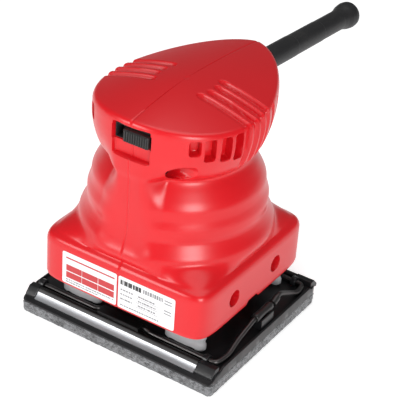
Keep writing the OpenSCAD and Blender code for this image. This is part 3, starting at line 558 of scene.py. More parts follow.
# ------------------------------------------------------------------ camera, floor and light
AZIMUTH = math.radians(31.346)      # 0 looks along +Y, and it grows towards +X
ELEVATION = math.radians(31.962)
ROLL = math.radians(4.202)
TARGET = np.array([-32.805, 73.251, 12.932]) / 1000
DISTANCE = 0.809603
WORLD_LIGHT = 0.18
FLOOR_GLOW = 0.42


def place_camera():
    """Camera that looks from the front right and above, tilted a little to one side."""
    back = np.array([math.sin(AZIMUTH) * math.cos(ELEVATION),
                     -math.cos(AZIMUTH) * math.cos(ELEVATION), math.sin(ELEVATION)])
    level = np.cross([0, 0, 1], back)
    level /= np.linalg.norm(level)
    upright = np.cross(back, level)
    right = math.cos(ROLL) * level + math.sin(ROLL) * upright
    up = -math.sin(ROLL) * level + math.cos(ROLL) * upright
    data = bpy.data.cameras.new("camera")
    data.sensor_width = 36
    data.lens = 133.34
    data.clip_start = 0.01
    camera = bpy.data.objects.new("camera", data)
    bpy.context.scene.collection.objects.link(camera)
    place = np.eye(4)
    place[:3, :3] = np.stack([right, up, back], 1)
    place[:3, 3] = TARGET + back * DISTANCE
    camera.matrix_world = Matrix(place.tolist())
    bpy.context.scene.camera = camera


def area_light(name, where, towards, size, power, colour=(1, 1, 1)):
    """Rectangular light at a place, facing another, in metres and watts."""
    data = bpy.data.lights.new(name, "AREA")
    data.shape = "RECTANGLE"
    data.size, data.size_y = size
    data.energy = power
    data.color = colour
    light = bpy.data.objects.new(name, data)
    bpy.context.scene.collection.objects.link(light)
    back = np.array(where, float) - np.array(towards, float)
    back /= np.linalg.norm(back)
    right = np.cross([0, 0, 1], back)
    right /= np.linalg.norm(right)
    place = np.eye(4)
    place[:3, :3] = np.stack([right, np.cross(back, right), back], 1)
    place[:3, 3] = where
    light.matrix_world = Matrix(place.tolist())


def light_studio():
    """Plain pale floor, pale surroundings and large soft lights low on the camera's side."""
    floor_mesh = bpy.data.meshes.new("floor")
    floor_mesh.from_pydata([(-3, -3, 0), (3, -3, 0), (3, 3, 0), (-3, 3, 0)], [], [(0, 1, 2, 3)])
    floor = bpy.data.objects.new("floor", floor_mesh)
    bpy.context.scene.collection.objects.link(floor)
    paper, _, shader = new_material("pale floor", 0.9)
    shader.inputs["Base Color"].default_value = (0.92, 0.92, 0.92, 1)
    shader.inputs["Emission Color"].default_value = (1, 1, 1, 1)
    shader.inputs["Emission Strength"].default_value = FLOOR_GLOW
    floor_mesh.materials.append(paper)
    world = bpy.data.worlds.new("surroundings")
    world.use_nodes = True
    world.node_tree.nodes["Background"].inputs["Color"].default_value = (1, 1, 1, 1)
    world.node_tree.nodes["Background"].inputs["Strength"].default_value = WORLD_LIGHT
    bpy.context.scene.world = world
    middle = (0, 0, 0.06)
    area_light("key", (0.85, -0.65, 0.42), middle, (0.4, 0.4), 7.6)
    area_light("left fill", (-0.5, -1.0, 0.5), middle, (0.5, 0.4), 7.4)
    area_light("overhead", (0.0, 0.12, 1.2), middle, (1.0, 1.0), 6.5)
    bpy.context.scene.view_settings.view_transform = "Standard"


place_camera()
light_studio()


# ------------------------------------------------------------------ casing skin
# Column, as (share of its height, share of the way from the neck's radius to the ridge's)
RIDGES = [(0.13, 1.43), (0.2, 1.39), (0.244, 1.3), (0.289, 1.18), (0.333, 1.075), (0.389, 0.98),
          (0.444, 1), (0.5, 1), (0.556, 0.935), (0.611, 0.85), (0.667, 0.806), (0.711, 0.785),
          (0.778, 0.656), (0.844, 0.462), (0.911, 0.247), (0.956, 0.097), (1, 0), (1.1, 0.08)]
# Flat front of the column, as (share of its height, share of the way out to the skirt's front)
APRON = [(0, 1), (0.11, 0.87), (0.193, 0.51), (0.289, 0.22), (0.4, 0.06), (0.622, 0), (1.2, 0)]
# Side of the head, as (share of its height, share of its full size)
HEAD_SIDE = [(0, 0.83), (0.05, 0.86), (0.133, 0.905), (0.233, 0.94), (0.333, 0.963),
             (0.467, 0.985), (0.6, 0.996), (0.733, 1), (0.85, 1), (0.917, 0.995), (0.96, 0.985),
             (0.99, 0.967), (1, 0.95)]
COLUMN_Y = -1.5
EDGE_DROOP = 3.6


def outline_r(t, half_w, front, rear, n_front, n_rear):
    """Radius of an egg outline at angle t from the front: the superellipse
    (|sin t| / half_w)^n + (|cos t| / reach)^n = r^-n, with its own reach and n on each side."""
    s, c = np.abs(np.sin(t)), np.cos(t)
    ahead = ((s / half_w) ** n_front + (np.abs(c) / front) ** n_front) ** (-1 / n_front)
    astern = ((s / half_w) ** n_rear + (np.abs(c) / rear) ** n_rear) ** (-1 / n_rear)
    return np.where(c >= 0, ahead, astern)


def skirt_r(t, z):
    """Square skirt: a superellipse of power 10, drawn in by a quarter round at its top."""
    rise = np.clip((z - SHOULDER_Z + 4) / 5, 0, 1)
    return (outline_r(t, BODY_HALF_W, BODY_FRONT, BODY_REAR, 10, 10)
            - 4 * (1 - np.sqrt(1 - np.minimum(0.96, rise * rise))))


def column_r(t, z):
    """Ridged column: a circle about (0, COLUMN_Y) whose radius follows RIDGES, flattened to the
    apron within 7 degrees of the front and round again beyond 24."""
    share = (z - SHOULDER_Z) / (NECK_Z - SHOULDER_Z)
    r = mix(NECK_R, RIDGE_R, curve(share, RIDGES))
    s, c = np.sin(t), np.cos(t)
    round_r = -COLUMN_Y * c + np.sqrt(r * r - (COLUMN_Y * s) ** 2)
    apron = mix(HEAD_FRONT - 0.6, BODY_FRONT, curve(share, APRON)) / np.maximum(c, 0.3)
    return mix(apron, round_r, smooth(7, 24, np.degrees(np.abs(t))))


def head_r(t, z):
    """Egg-shaped head, round in front and pointed behind, swelling upwards by HEAD_SIDE except
    at the very front, where it stays flush with the apron."""
    share = (z - NECK_Z) / (EDGE_Z - NECK_Z)
    swell = np.maximum(smooth(9, 26, np.degrees(np.abs(t))), smooth(EDGE_Z - 6, EDGE_Z, z))
    return (outline_r(t, HEAD_HALF_W, HEAD_FRONT, HEAD_REAR, 2.2, 1.54)
            * mix(1, curve(share, HEAD_SIDE), swell))


def skin_r(t, z):
    """The skirt runs into the column over 8.5 mm, and the column into the head over 4.5 mm."""
    low = mix(skirt_r(t, z), column_r(t, np.maximum(z, SHOULDER_Z)),
              smooth(SHOULDER_Z - 0.5, SHOULDER_Z + 8, z))
    return mix(low, head_r(t, np.maximum(z, NECK_Z)), smooth(NECK_Z - 0.5, NECK_Z + 4, z))


def skin_levels():
    """Heights of the skin's rings: closer where the screws, ridges, slots and edges are."""
    spans = [(BODY_Z, BODY_Z + 6, 5), (BODY_Z + 6, BODY_Z + 16, 20),
             (BODY_Z + 16, SHOULDER_Z - 4, 5), (SHOULDER_Z - 4, SHOULDER_Z + 3, 12),
             (SHOULDER_Z + 3, NECK_Z, 42),
             (NECK_Z, NECK_Z + 26, 54), (NECK_Z + 26, EDGE_Z, 12)]
    return np.concatenate([np.linspace(a, b, n, endpoint=False) for a, b, n in spans] + [[EDGE_Z]])


def skin_points(turns):
    """Rings of the bare skin from the skirt's edge to the pole of the crown. Above the edge a
    ring is the edge shrunk to a share s, at a height that rises with 1 - s^1.8."""
    z = skin_levels()
    t, level = np.meshgrid(turns, z)
    r = skin_r(t, level)
    droop = EDGE_DROOP * (r * np.sin(t) / HEAD_HALF_W) ** 2 * smooth(EDGE_Z - 16, EDGE_Z - 3, level)
    side = np.stack([r * np.sin(t), -r * np.cos(t), level - droop], -1)
    share = np.concatenate([np.linspace(1, 0.25, 66)[1:], np.linspace(0.25, 0, 10)[1:]])[:, None]
    edge = side[-1]
    crown = np.stack([edge[:, 0] * share, edge[:, 1] * share,
                      mix(edge[:, 2], CROWN_Z, 1 - share ** 1.8)], -1)
    return np.concatenate([side, crown])


def grid_normals(points):
    """Outward unit normals of a grid: turn direction crossed with climb direction."""
    along = np.gradient(points, axis=1)
    climb = np.gradient(points, axis=0)
    normal = np.cross(along, climb)
    length = np.linalg.norm(normal, axis=-1, keepdims=True)
    normal = np.where(length > 1e-9, normal / np.maximum(length, 1e-9), [0, 0, 1])
    return normal


# ------------------------------------------------------------------ openings and grooves
SCREW_LOW_Z = BODY_Z + 11.2
SIDE_SCREWS = [(-21.4, SCREW_LOW_Z, BODY_HALF_W - 9, 3.8),
               (15.5, SCREW_LOW_Z, BODY_HALF_W - 9, 3.8),
               (-34.5, NECK_Z + 7.4, 11.5, 3.8), (31, NECK_Z + 6, 11.5, 3.8)]
RECESS_FLOOR_Y = -HEAD_FRONT + 2.9
RECESS_HALF_W = 10
RECESS_Z = (NECK_Z + 10.7, NECK_Z + 26.8)
SLOT_Z = (NECK_Z + 18, NECK_Z + 25.2)
SLOT_HALF_W = 9.9
GROOVE_Y = [-8.6, -2.7, 3.2, 9.1]
GROOVE_X = [11.6, 13.4, 13.4, 12]
GROOVE_W = 4
GROOVE_DEPTH = 2.0
GROOVE_RUN_OUT = 4
AIR_SLOTS = [(39.8, 4.8, NECK_Z + 18, NECK_Z + 24.8), (49.3, 5, NECK_Z + 14.5, NECK_Z + 25),
             (60.1, 4.9, NECK_Z + 13.2, NECK_Z + 24.8), (70, 4.6, NECK_Z + 12, NECK_Z + 24.6),
             (115, 4.4, NECK_Z + 11, NECK_Z + 26)]
REAR_SLOTS = [128, 138, 146.5, 153.5]
GUARD_Y = HEAD_REAR - 1.5
GUARD_Z = NECK_Z + 16.1
GUARD_R = 5.95
GUARD_TILT = math.radians(3.8)


def inside(low, high, x, edge=0.35):
    """1 between low and high and 0 outside, with a soft edge on both sides."""
    return smooth(low - edge, low + edge, x) * (1 - smooth(high - edge, high + edge, x))


def rounded_window(u, v, half_u, half_v, corner, edge=0.35):
    """1 inside a rectangle with rounded corners and 0 outside, by its signed distance."""
    du, dv = np.abs(u) - half_u + corner, np.abs(v) - half_v + corner
    outside = np.hypot(np.maximum(du, 0), np.maximum(dv, 0))
    away = outside + np.minimum(np.maximum(du, dv), 0) - corner
    return 1 - smooth(-edge, edge, away)


def carve(points, normal, side):
    """How far each skin point moves, as a vector field, for every recess of a casing half."""
    x, y, z = (points[..., k] for k in range(3))
    ax = np.abs(x)
    turn = np.degrees(np.arctan2(ax, -y))
    radius = np.maximum(np.hypot(x, y), 1e-6)
    outward = np.stack([x / radius, y / radius, np.zeros_like(x)], -1)
    shift = np.zeros_like(points)
    front = (y < 0) & (z > NECK_Z) & (ax < 16)
    recess = np.where(front, rounded_window(x, z - sum(RECESS_Z) / 2, RECESS_HALF_W,
                                            (RECESS_Z[1] - RECESS_Z[0]) / 2, 0.5, 0.25), 0)
    shift[..., 1] += recess * (RECESS_FLOOR_Y - y)
    slot = np.where(front, rounded_window(x, z - sum(SLOT_Z) / 2, SLOT_HALF_W + 0.35,
                                          (SLOT_Z[1] - SLOT_Z[0]) / 2 + 0.1, 0.4, 0.25), 0)
    shift[..., 1] += slot * 6
    for angle, width, low, high in AIR_SLOTS:
        away = radius * np.sin(np.radians(turn - angle))
        window = rounded_window(away, z - (low + high) / 2, width / 2, (high - low) / 2, 1.0)
        window = np.where(np.abs(turn - angle) < 12, window, 0)
        shift -= outward * (window * 4.6)[..., None]
    for angle in REAR_SLOTS:
        away = radius * np.sin(np.radians(turn - angle))
        lean = away - (z - NECK_Z - 18) * 0.25
        window = rounded_window(lean, z - NECK_Z - 18, 1.1, 6.5, 1.0, 0.3)
        window = np.where(np.abs(turn - angle) < 12, window, 0)
        shift -= outward * (window * 3)[..., None]
    for y_groove, x_groove in zip(GROOVE_Y, GROOVE_X):
        reach = np.maximum(x_groove + GROOVE_W / 2 - ax, 0)
        away = np.hypot(y - y_groove, reach)
        depth = GROOVE_DEPTH * (1 - smooth(GROOVE_W / 2 - 0.6, GROOVE_W / 2 + 0.4, away))
        depth = depth * smooth(NECK_Z + 2, NECK_Z + 7, z)
        depth = depth * mix(0.35, 1, smooth(0, GROOVE_RUN_OUT, ax - x_groove))
        shift -= normal * depth[..., None]
    if side > 0:
        for y_hole, z_hole, x_floor, r_hole in SIDE_SCREWS:
            away = np.hypot(y - y_hole, z - z_hole)
            hole = np.where(ax > x_floor, 1 - smooth(r_hole - 0.3, r_hole + 0.3, away), 0)
            shift[..., 0] += hole * (x_floor - ax)
    away = np.hypot(x, z - GUARD_Z)
    collar = np.where(y > 30, 1 - smooth(GUARD_R + 0.1, GUARD_R + 0.7, away), 0)
    shift[..., 1] -= collar * 6
    return shift


def widest(shift, cells):
    """Each point takes the largest movement found within some cells of it."""
    best = shift.copy()
    size = np.linalg.norm(best, axis=-1)
    for axis in (0, 1):
        start, start_size = best.copy(), size.copy()
        for step in range(-cells, cells + 1):
            moved = np.roll(start, step, axis)
            moved_size = np.roll(start_size, step, axis)
            edge = [slice(None), slice(None)]
            edge[axis] = slice(0, step) if step > 0 else slice(step, None)
            if step == 0:
                edge[axis] = slice(0, 0)
            moved_size[tuple(edge)] = 0
            larger = moved_size > size
            best[larger], size[larger] = moved[larger], moved_size[larger]
    return best


def casing_half(side):
    """One half of the casing as a closed wall: the carved outer skin, an inner skin that keeps
    its distance, and the edges between them at the seam and at the foot."""
    turns = np.radians(np.concatenate([
        np.linspace(0, 32, 52, endpoint=False), np.linspace(32, 120, 176, endpoint=False),
        np.linspace(120, 180, 85)]))
    bare = skin_points(turns)
    normal = grid_normals(bare)
    normal[:, 0, 0] = normal[:, -1, 0] = 0
    # the lever's grip has room under a shallow arch in the skirt's edge
    arch = 1.8 * inside(-8, 1, bare[..., 1], 1.2) * (1 - smooth(BODY_Z, BODY_Z + 6, bare[..., 2]))
    if side > 0:
        bare[..., 2] += np.where(bare[..., 0] > 30, arch, 0)
    shift = carve(bare, normal, side)
    outer = bare + shift
    outer[0] -= normal[0] * 0.35
    for column in (0, -1):
        outer[:, column] -= normal[:, column] * 0.28
    thick = widest(shift, 4)[::2, ::2]
    inner = bare[::2, ::2] - normal[::2, ::2] * WALL + thick
    inner[0, :, 2] = outer[0, ::2, 2]
    inner[:, 0, 0] = inner[:, -1, 0] = 0
    inner[-1] = [0, 0, CROWN_Z - WALL]
    outer[..., 0] = np.maximum(outer[..., 0], 0)
    inner[..., 0] = np.maximum(inner[..., 0], 0)
    rows, cols = outer.shape[:2]
    in_rows, in_cols = inner.shape[:2]
    base = rows * cols
    out_id = np.arange(base).reshape(rows, cols)
    in_id = base + np.arange(in_rows * in_cols).reshape(in_rows, in_cols)
    out_id[-1] = out_id[-1, 0]
    in_id[-1] = in_id[-1, 0]

    def quads(ids):
        """Four-cornered faces of a grid of point numbers, and its three-cornered ones."""
        q = np.stack([ids[:-1, :-1], ids[:-1, 1:], ids[1:, 1:], ids[1:, :-1]], -1).reshape(-1, 4)
        return q[q[:, 2] != q[:, 3]], q[q[:, 2] == q[:, 3]][:, :3]

    def joined(fine, coarse):
        """Five-cornered faces between a fine edge and a coarse one with half its points."""
        return np.stack([coarse[:-1], coarse[1:], fine[2::2], fine[1::2], fine[:-2:2]], -1)

    outer_quads, outer_tips = quads(out_id)
    inner_quads, inner_tips = quads(in_id)
    foot = joined(out_id[0], in_id[0])
    front = joined(out_id[:, 0][::-1], in_id[:, 0][::-1])
    rear = joined(out_id[:, -1], in_id[:, -1])
    blocks = [outer_quads, outer_tips, inner_quads[:, ::-1], inner_tips[:, ::-1], foot, front, rear]
    points = np.concatenate([outer.reshape(-1, 3), inner.reshape(-1, 3)])
    if side < 0:
        points = points * [-1, 1, 1]
        blocks = [np.asarray(b)[:, ::-1] for b in blocks]
    used = np.unique(np.concatenate([np.asarray(b).ravel() for b in blocks]))
    new_index = np.zeros(len(points), int)
    new_index[used] = np.arange(len(used))
    name = "casing_right" if side > 0 else "casing_left"
    return new_piece(name, points[used], [new_index[b] for b in blocks], "casing", RED,
                     replaces=("housing_right" if side > 0 else "housing_left",), smooth_angle=38)


for half in (1, -1):
    casing_half(half)

# ------------------------------------------------------------------ platen
rod_low, rod_high = box_mm("clamp_rods")
lever_low, _ = box_mm("front_lever")
strip_low, strip_high = box_mm("front_clamp_strip")
WIRE_R = 1.3
ROD_R = (rod_high[2] - rod_low[2]) / 2
ROD_Y = rod_high[1] - ROD_R
ROD_Z = rod_high[2] - ROD_R
LEVER_Y = -lever_low[1] - WIRE_R
LEVER_Z = lever_low[2] + WIRE_R
STRIP_T = 0.8
ROLL_R = ROD_R + STRIP_T
HALF_W = pad_high[0]
HALF_L = pad_high[1]
EDGE_T = 1.0
LEG_LOBE, LEG_REACH = 4.1, 5.9         # radius of a leg's lobes, and how far out they stand
CUP_HALF_X, CUP_HALF_Y = 10.2, 4.25    # black oval cup round a leg's foot, clear of the levers: it stands in for the shade on the leg's lower part
SHOULDER_Y = ROD_Y + 1.2
LUG_HALF = 1.3
LUG_GAP = 0.3
LUG_X = (strip_low[0] - LUG_GAP - LUG_HALF, strip_high[0] + LUG_GAP + LUG_HALF)   # lugs' middles


def plan_half_width(y):
    """Half-width of the platen at y: square corners in front, rounded by 8 mm behind."""
    front, rear = 2.0, 8.0
    r = np.where(y < 0, front, rear)
    past = np.clip(np.abs(y) - (HALF_L - r), 0, r)
    return HALF_W - r + np.sqrt(r * r - past * past)


def cosine_steps(a, b, n):
    """n places from a to b, closer together towards both ends."""
    return mix(a, b, (1 - np.cos(np.linspace(0, np.pi, n))) / 2)


def felt_pad():
    """Felt slab: its plan drawn round in fine steps, its sides fluffed by two sizes of ripple."""
    side_y = cosine_steps(-HALF_L, HALF_L, 170)
    across = np.linspace(-1, 1, 90)[1:-1]
    right = np.stack([plan_half_width(side_y), side_y], -1)
    rear = np.stack([-across * plan_half_width(HALF_L), np.full(88, HALF_L)], -1)
    left = right[::-1] * [-1, 1]
    front = np.stack([across * plan_half_width(-HALF_L), np.full(88, -HALF_L)], -1)
    plan = np.concatenate([right, rear, left, front])
    levels = [(0.0, 1.2), (0.0, 0.5), (0.3, 0.12), (0.8, 0), (1.5, 0), (2.3, 0), (3.1, 0), (3.9, 0),
              (4.6, 0), (5.2, 0.05), (5.7, 0.2), (5.88, 0.6), (5.88, 1.4)]
    rings = []
    for z, inset in levels:
        shrink = 1 - inset / np.array([HALF_W, HALF_L])
        ring = np.column_stack([plan * shrink, np.full(len(plan), z)])
        away = ring * [1 / HALF_W, 1 / HALF_L, 0]
        fluff = 0.16 * ripple(ring, 1.3, 11) + 0.12 * ripple(ring, 4.5, 12)
        edge = smooth(0.0, 0.4, z) * (1 - smooth(5.6, 5.88, z))
        rings.append(ring + away * (fluff * edge - 0.15)[:, None])
    pad = Solid()
    tube_shell(pad, np.array(rings))
    pad.piece("felt_pad", "platen", FELT, replaces=("sanding_pad",), smooth_angle=75)


def slab_rings():
    """Sections of the platen's slab across y: sloping shoulders for the paper at both ends, and
    a low rounded rim along both sides between them."""
    stations = np.concatenate([cosine_steps(-HALF_L, -HALF_L + 2.2, 9), np.linspace(-48.5, -41, 12),
                               np.linspace(-40, 41, 60), cosine_steps(42, HALF_L, 26)])
    rings = []
    for y in stations:
        half = float(plan_half_width(y)) - 0.12
        slope = (PLATE_TOP - PAD_TOP - EDGE_T) / (HALF_L - SHOULDER_Y)
        top = min(PLATE_TOP, PAD_TOP + EDGE_T + slope * (HALF_L - abs(y)))
        rim = 1.3 * float(1 - smooth(39.5, 42.5, abs(y)))
        wave = 0.1 * float(ripple(np.array([[half, y, top]]), 9, 21)[0])
        right = [(half - 0.3, PAD_TOP + 0.02), (half + wave, PAD_TOP + 0.4),
                 (half + wave, mix(PAD_TOP + 0.4, top + rim, 0.6)), (half - 0.12, top + rim - 0.45),
                 (half - 0.45, top + rim - 0.1), (half - 0.85, top + rim),
                 (half - 1.2, top + rim - 0.12), (half - 1.45, top + rim * 0.6),
                 (half - 1.6, top), (half - 4, top), (half * 0.5, top)]
        left = [(-x, z) for x, z in right[::-1]]
        rings.append([(x, y, z) for x, z in right + left])
    return np.array(rings)


def along_x(u, v, w):
    """Outline in the y-z plane, set at x = w."""
    return np.stack([np.broadcast_to(w, np.shape(u)), u, v], -1)


def prism_x(solid, outline, x0, x1, bevel=0.25):
    """Prism along X with its two ends bevelled."""
    bar(solid, outline, [x0, x0 + bevel, x1 - bevel, x1], [bevel, 0, 0, bevel], along_x)


def base_plate():
    """Slab with its bearing boss, ribs, lever lugs and the raised blocks at its corners."""
    plate = Solid()
    tube_shell(plate, slab_rings())
    boss = [(11, 9), (18, 9), (18, 22.3), (14.05, 22.3), (14.05, 14.3), (11, 14.3)]
    lathe(plate, rounded_profile(boss, [0.3, 0.3, 1.2, 0.4, 0.3, 0.3]), around=72)
    for k in range(6):
        a = math.radians(60 * k)
        along, across = np.array([math.cos(a), math.sin(a)]), np.array([-math.sin(a), math.cos(a)])
        rib = rounded_profile([(-1.2, 9.5), (1.2, 9.5), (1.0, 14.2), (-1.0, 14.2)],
                              [0, 0, 0.5, 0.5])
        bar(plate, rib, [17, 30, 30.8], [0, 0, 0.6],
            lambda u, v, w, along=along, across=across: np.column_stack(
                [along * w + across * u[:, None], v]))
    for end in (-1, 1):
        for lug, outer in zip(LUG_X, (-HALF_W + 1, HALF_W - 1)):
            bore, rim = WIRE_R + 0.12, 2.7
            ring = [(bore, -LUG_HALF), (rim, -LUG_HALF), (rim, LUG_HALF), (bore, LUG_HALF)]
            lathe(plate, rounded_profile(ring, 0.25), centre=(lug, end * LEVER_Y, LEVER_Z),
                  axis=(1, 0, 0), around=40)
            inner = lug + LUG_HALF * np.sign(-lug)
            block = [(end * (ROD_Y - 1.8), PLATE_TOP - 0.6), (end * (ROD_Y + 4.4), PLATE_TOP - 2.4),
                     (end * (ROD_Y + 4.6), PLATE_TOP - 0.4), (end * (ROD_Y + 1.4), PLATE_TOP + 2.9),
                     (end * (ROD_Y - 1.8), PLATE_TOP + 2.9)]
            block = rounded_profile(block[::end], 0.45)
            prism_x(plate, block, min(inner, outer), max(inner, outer))
    _, leg_high = box_mm("flexible_legs")
    cup_x, cup_y = leg_high[0] - LEG_LOBE - LEG_REACH, leg_high[1] - LEG_LOBE
    # black cups round the legs' feet: a dark thing put where the legs' lower parts lie in shade, as
    # painted shade
    turn = np.linspace(0, 2 * np.pi, 48, endpoint=False)
    oval = np.column_stack([CUP_HALF_X * np.cos(turn), CUP_HALF_Y * np.sin(turn)])
    for sx in (-1, 1):
        for sy in (-1, 1):
            bar(plate, oval, [PLATE_TOP - 0.5, PLATE_TOP + 1.9, PLATE_TOP + 2.2], [0, 0, 0.3],
                lambda u, v, w, sx=sx, sy=sy: np.stack(
                    [sx * cup_x + u, sy * cup_y + v, np.full(len(u), w)], -1))
    plate.piece("platen_plate", "platen", BLACK_PLATE, replaces=("base_plate",), smooth_angle=35)


def lever_catch():
    """Saddle that the two levers' grips snap into, open at the top."""
    low, high = box_mm("lever_catch")
    grip_low, grip_high = box_mm("front_lever_grip")
    middle_z = (grip_low[2] + grip_high[2]) / 2
    bore = (grip_high[2] - grip_low[2]) / 2 + 0.35
    a = np.linspace(np.pi * 1.12, np.pi * 1.88, 15)
    x0 = (grip_low[0] + grip_high[0]) / 2
    hollow = np.column_stack([x0 + bore * np.cos(a), middle_z + bore * np.sin(a)])
    outside = rounded_profile([(x0 + 3.3, high[2]), (x0 + 3.3, PLATE_TOP - 0.2),
                               (x0 - 3.3, PLATE_TOP - 0.2), (x0 - 3.3, high[2])], [0.5, 0, 0, 0.5])
    outline = np.concatenate([hollow, outside])
    saddle = Solid()
    rings = np.stack([np.column_stack([outline[:, 0], np.full(len(outline), y), outline[:, 1]])
                      for y in (low[1], high[1])])
    tube_shell(saddle, rings)
    saddle.piece("lever_saddle", "platen", BLACK_PLATE, replaces=("lever_catch",), smooth_angle=35)


def clamp_strip(end):
    """Rolled steel strip: a lip over the platen's shoulder, a roll round its rod and, in the
    middle, a tail that reaches over the lever's crank."""
    slope = (PLATE_TOP - PAD_TOP - EDGE_T) / (HALF_L - SHOULDER_Y)

    def shoulder_z(d):
        """Height of the platen's shoulder at distance d beyond the rod."""
        return PLATE_TOP - slope * (ROD_Y + d - SHOULDER_Y)

    half = STRIP_T / 2
    middle_r = ROD_R + half + 0.06
    roll = np.radians(np.linspace(38, 290, 26))
    path = np.concatenate([
        [(4.9, shoulder_z(4.9) + 0.95), (4.3, shoulder_z(4.3) + 0.92), (2.5, shoulder_z(2.5) + 1.0),
         (1.9, shoulder_z(1.9) + 1.6)],
        np.column_stack([middle_r * np.cos(roll), ROD_Z + middle_r * np.sin(roll)])])
    step = np.gradient(path, axis=0)
    step /= np.linalg.norm(step, axis=1)[:, None]
    normal = np.column_stack([-step[:, 1], step[:, 0]])
    outline = np.concatenate([path + normal * half, (path - normal * half)[::-1]])
    xs = np.linspace(strip_low[0], strip_high[0], 60)
    wave = 0.07 * ripple(np.column_stack([xs, 0 * xs, 0 * xs]), 26, 31 + end)
    rings = []
    for x, w in zip(xs, wave):
        out = outline + w * smooth(1, 4, outline[:, :1]) * [0.4, 1]
        rings.append(np.column_stack([np.full(len(out), x), end * (ROD_Y + out[:, 0]), out[:, 1]]))
    strip = Solid()
    tube_shell(strip, np.array(rings))
    high = box_mm("front_clamp_strip")[1][2]
    tail = rounded_profile([(-0.6, ROD_Z + ROLL_R - 0.5), (0.35, ROD_Z + ROLL_R - 0.5),
                            (0.8, high - 0.25), (0.4, high), (-ROD_Y + LEVER_Y - 0.5, high),
                            (-ROD_Y + LEVER_Y - 0.5, high - STRIP_T), (0, high - STRIP_T)],
                           [0, 0, 0.1, 0.2, 0.2, 0.2, 0.3])
    middle = (strip_low[0] + strip_high[0]) / 2
    bar(strip, tail, [middle - 12, middle - 11.7, middle + 11.7, middle + 12], [0.2, 0, 0, 0.2],
        lambda u, v, w: np.stack([np.full(len(u), w), end * (ROD_Y + u), v], -1))
    name = "front" if end < 0 else "rear"
    strip.piece(f"{name}_paper_clamp", f"{name}_strip", STRIP_STEEL,
                replaces=(f"{name}_clamp_strip",), smooth_angle=35)


CRANK = 1.2
LEVER_X = 51
BEND_X = LUG_X[1] + LUG_HALF + 2 * WIRE_R + 0.8
GRIP_Z = PLATE_TOP + 7
GRIP_Y = (-6, 8.5)


def lever_bar(end):
    """Part of a lever along its clamp, with the crank under the strip's tail."""
    return [(LUG_X[0] - 2.3, end * LEVER_Y, LEVER_Z), (-18, end * LEVER_Y, LEVER_Z),
            (-16, end * LEVER_Y, LEVER_Z + CRANK), (12, end * LEVER_Y, LEVER_Z + CRANK),
            (14, end * LEVER_Y, LEVER_Z), (BEND_X, end * LEVER_Y, LEVER_Z)]


FRONT_ARM = [(52.3, -LEVER_Y + 6, LEVER_Z), (52.4, -LEVER_Y + 10, LEVER_Z + 0.1),
             (51.2, -21, PLATE_TOP + 3.6), (LEVER_X, -9, PLATE_TOP + 6.4),
             (LEVER_X, GRIP_Y[0] - 1, GRIP_Z), (LEVER_X, GRIP_Y[1] + 1, GRIP_Z)]
REAR_ARM = [(52.4, LEVER_Y - 5, LEVER_Z), (52.6, LEVER_Y - 8, LEVER_Z + 0.2),
            (51.6, 29, PLATE_TOP + 3), (LEVER_X - 0.2, 18, PLATE_TOP + 8.6),
            (LEVER_X, 15.5, PLATE_TOP + 8.6), (LEVER_X, 11.5, GRIP_Z)]


def clamp_lever(end, arm):
    """Bent spring wire with rounded ends."""
    wire = Solid()
    path, radii = round_ends(rounded_path(lever_bar(end) + arm, 2.6, 7), WIRE_R)
    sweep(wire, path, radii, around=20)
    name = "front" if end < 0 else "rear"
    wire.piece(f"{name}_wire_lever", f"{name}_clamp_lever", WIRE_STEEL, replaces=(f"{name}_lever",),
               smooth_angle=60)


def lever_sleeve():
    """Soft sleeve pushed over the front lever's end: slightly waisted, with rounded mouths."""
    low, high = box_mm("front_lever_grip")
    r = (high[2] - low[2]) / 2
    middle = (low + high) / 2
    reach = (high[1] - low[1]) / 2
    profile = rounded_profile([(WIRE_R, -reach), (r - 0.15, -reach), (r, -reach + 1.6),
                               (r - 0.3, 0), (r, reach - 1.6), (r - 0.15, reach), (WIRE_R, reach)],
                              [0.1, 0.5, 1.5, 6, 1.5, 0.5, 0.1], 5)
    sleeve = Solid()
    lathe(sleeve, profile, centre=middle, axis=(0, 1, 0), around=40)
    sleeve.piece("front_sleeve", "front_clamp_lever", GRIP_SLEEVE,
                 replaces=("front_lever_grip",), smooth_angle=50)


def rubber_legs():
    """Four soft legs: a rounded block with two lobes, lumpy as cast rubber is, and a post above."""
    _, high = box_mm("flexible_legs")
    post_top, post_r = high[2], 3.6
    block_top = BODY_Z - 0.9
    leg_x, leg_y = high[0] - LEG_LOBE - LEG_REACH, high[1] - LEG_LOBE
    t = np.linspace(0, 2 * np.pi, 96, endpoint=False)
    s, c = np.sin(t), np.cos(t)
    half_x = LEG_LOBE + 0.7 * LEG_REACH
    wide = (np.abs(c / half_x) ** 3 + np.abs(s / LEG_LOBE) ** 2.4) ** (-1 / 2.6)
    levels = np.concatenate([cosine_steps(PLATE_TOP, block_top, 26), [block_top, block_top + 0.3],
                             np.linspace(block_top + 0.6, post_top, 4)])
    legs = Solid()
    for sx in (-1, 1):
        for sy in (-1, 1):
            rings = []
            for z in levels:
                end_round = 0.6 * (1 - smooth(0, 1.2, min(z - PLATE_TOP, max(0, block_top - z))))
                r = (wide - end_round) * (1 - 0.07 * math.cos((z - PLATE_TOP) * 1.1))
                r = np.where(z > block_top, post_r, np.minimum(r, wide))
                ring = np.column_stack([sx * leg_x + r * c, sy * leg_y + r * s, np.full(96, z)])
                lump = 0.22 * ripple(ring, 5, 41) * (z < block_top)
                ring[:, 0] += np.clip(lump, -1, 0.05) * c
                ring[:, 1] += np.clip(lump, -1, 0.05) * s
                rings.append(ring)
            tube_shell(legs, np.array(rings))
    legs.piece("rubber_legs", "platen", PALE_RUBBER, replaces=("flexible_legs",), smooth_angle=50)


felt_pad()
base_plate()
lever_catch()
rubber_legs()
lever_sleeve()
for way, arm_points in ((-1, FRONT_ARM), (1, REAR_ARM)):
    clamp_strip(way)
    clamp_lever(way, arm_points)


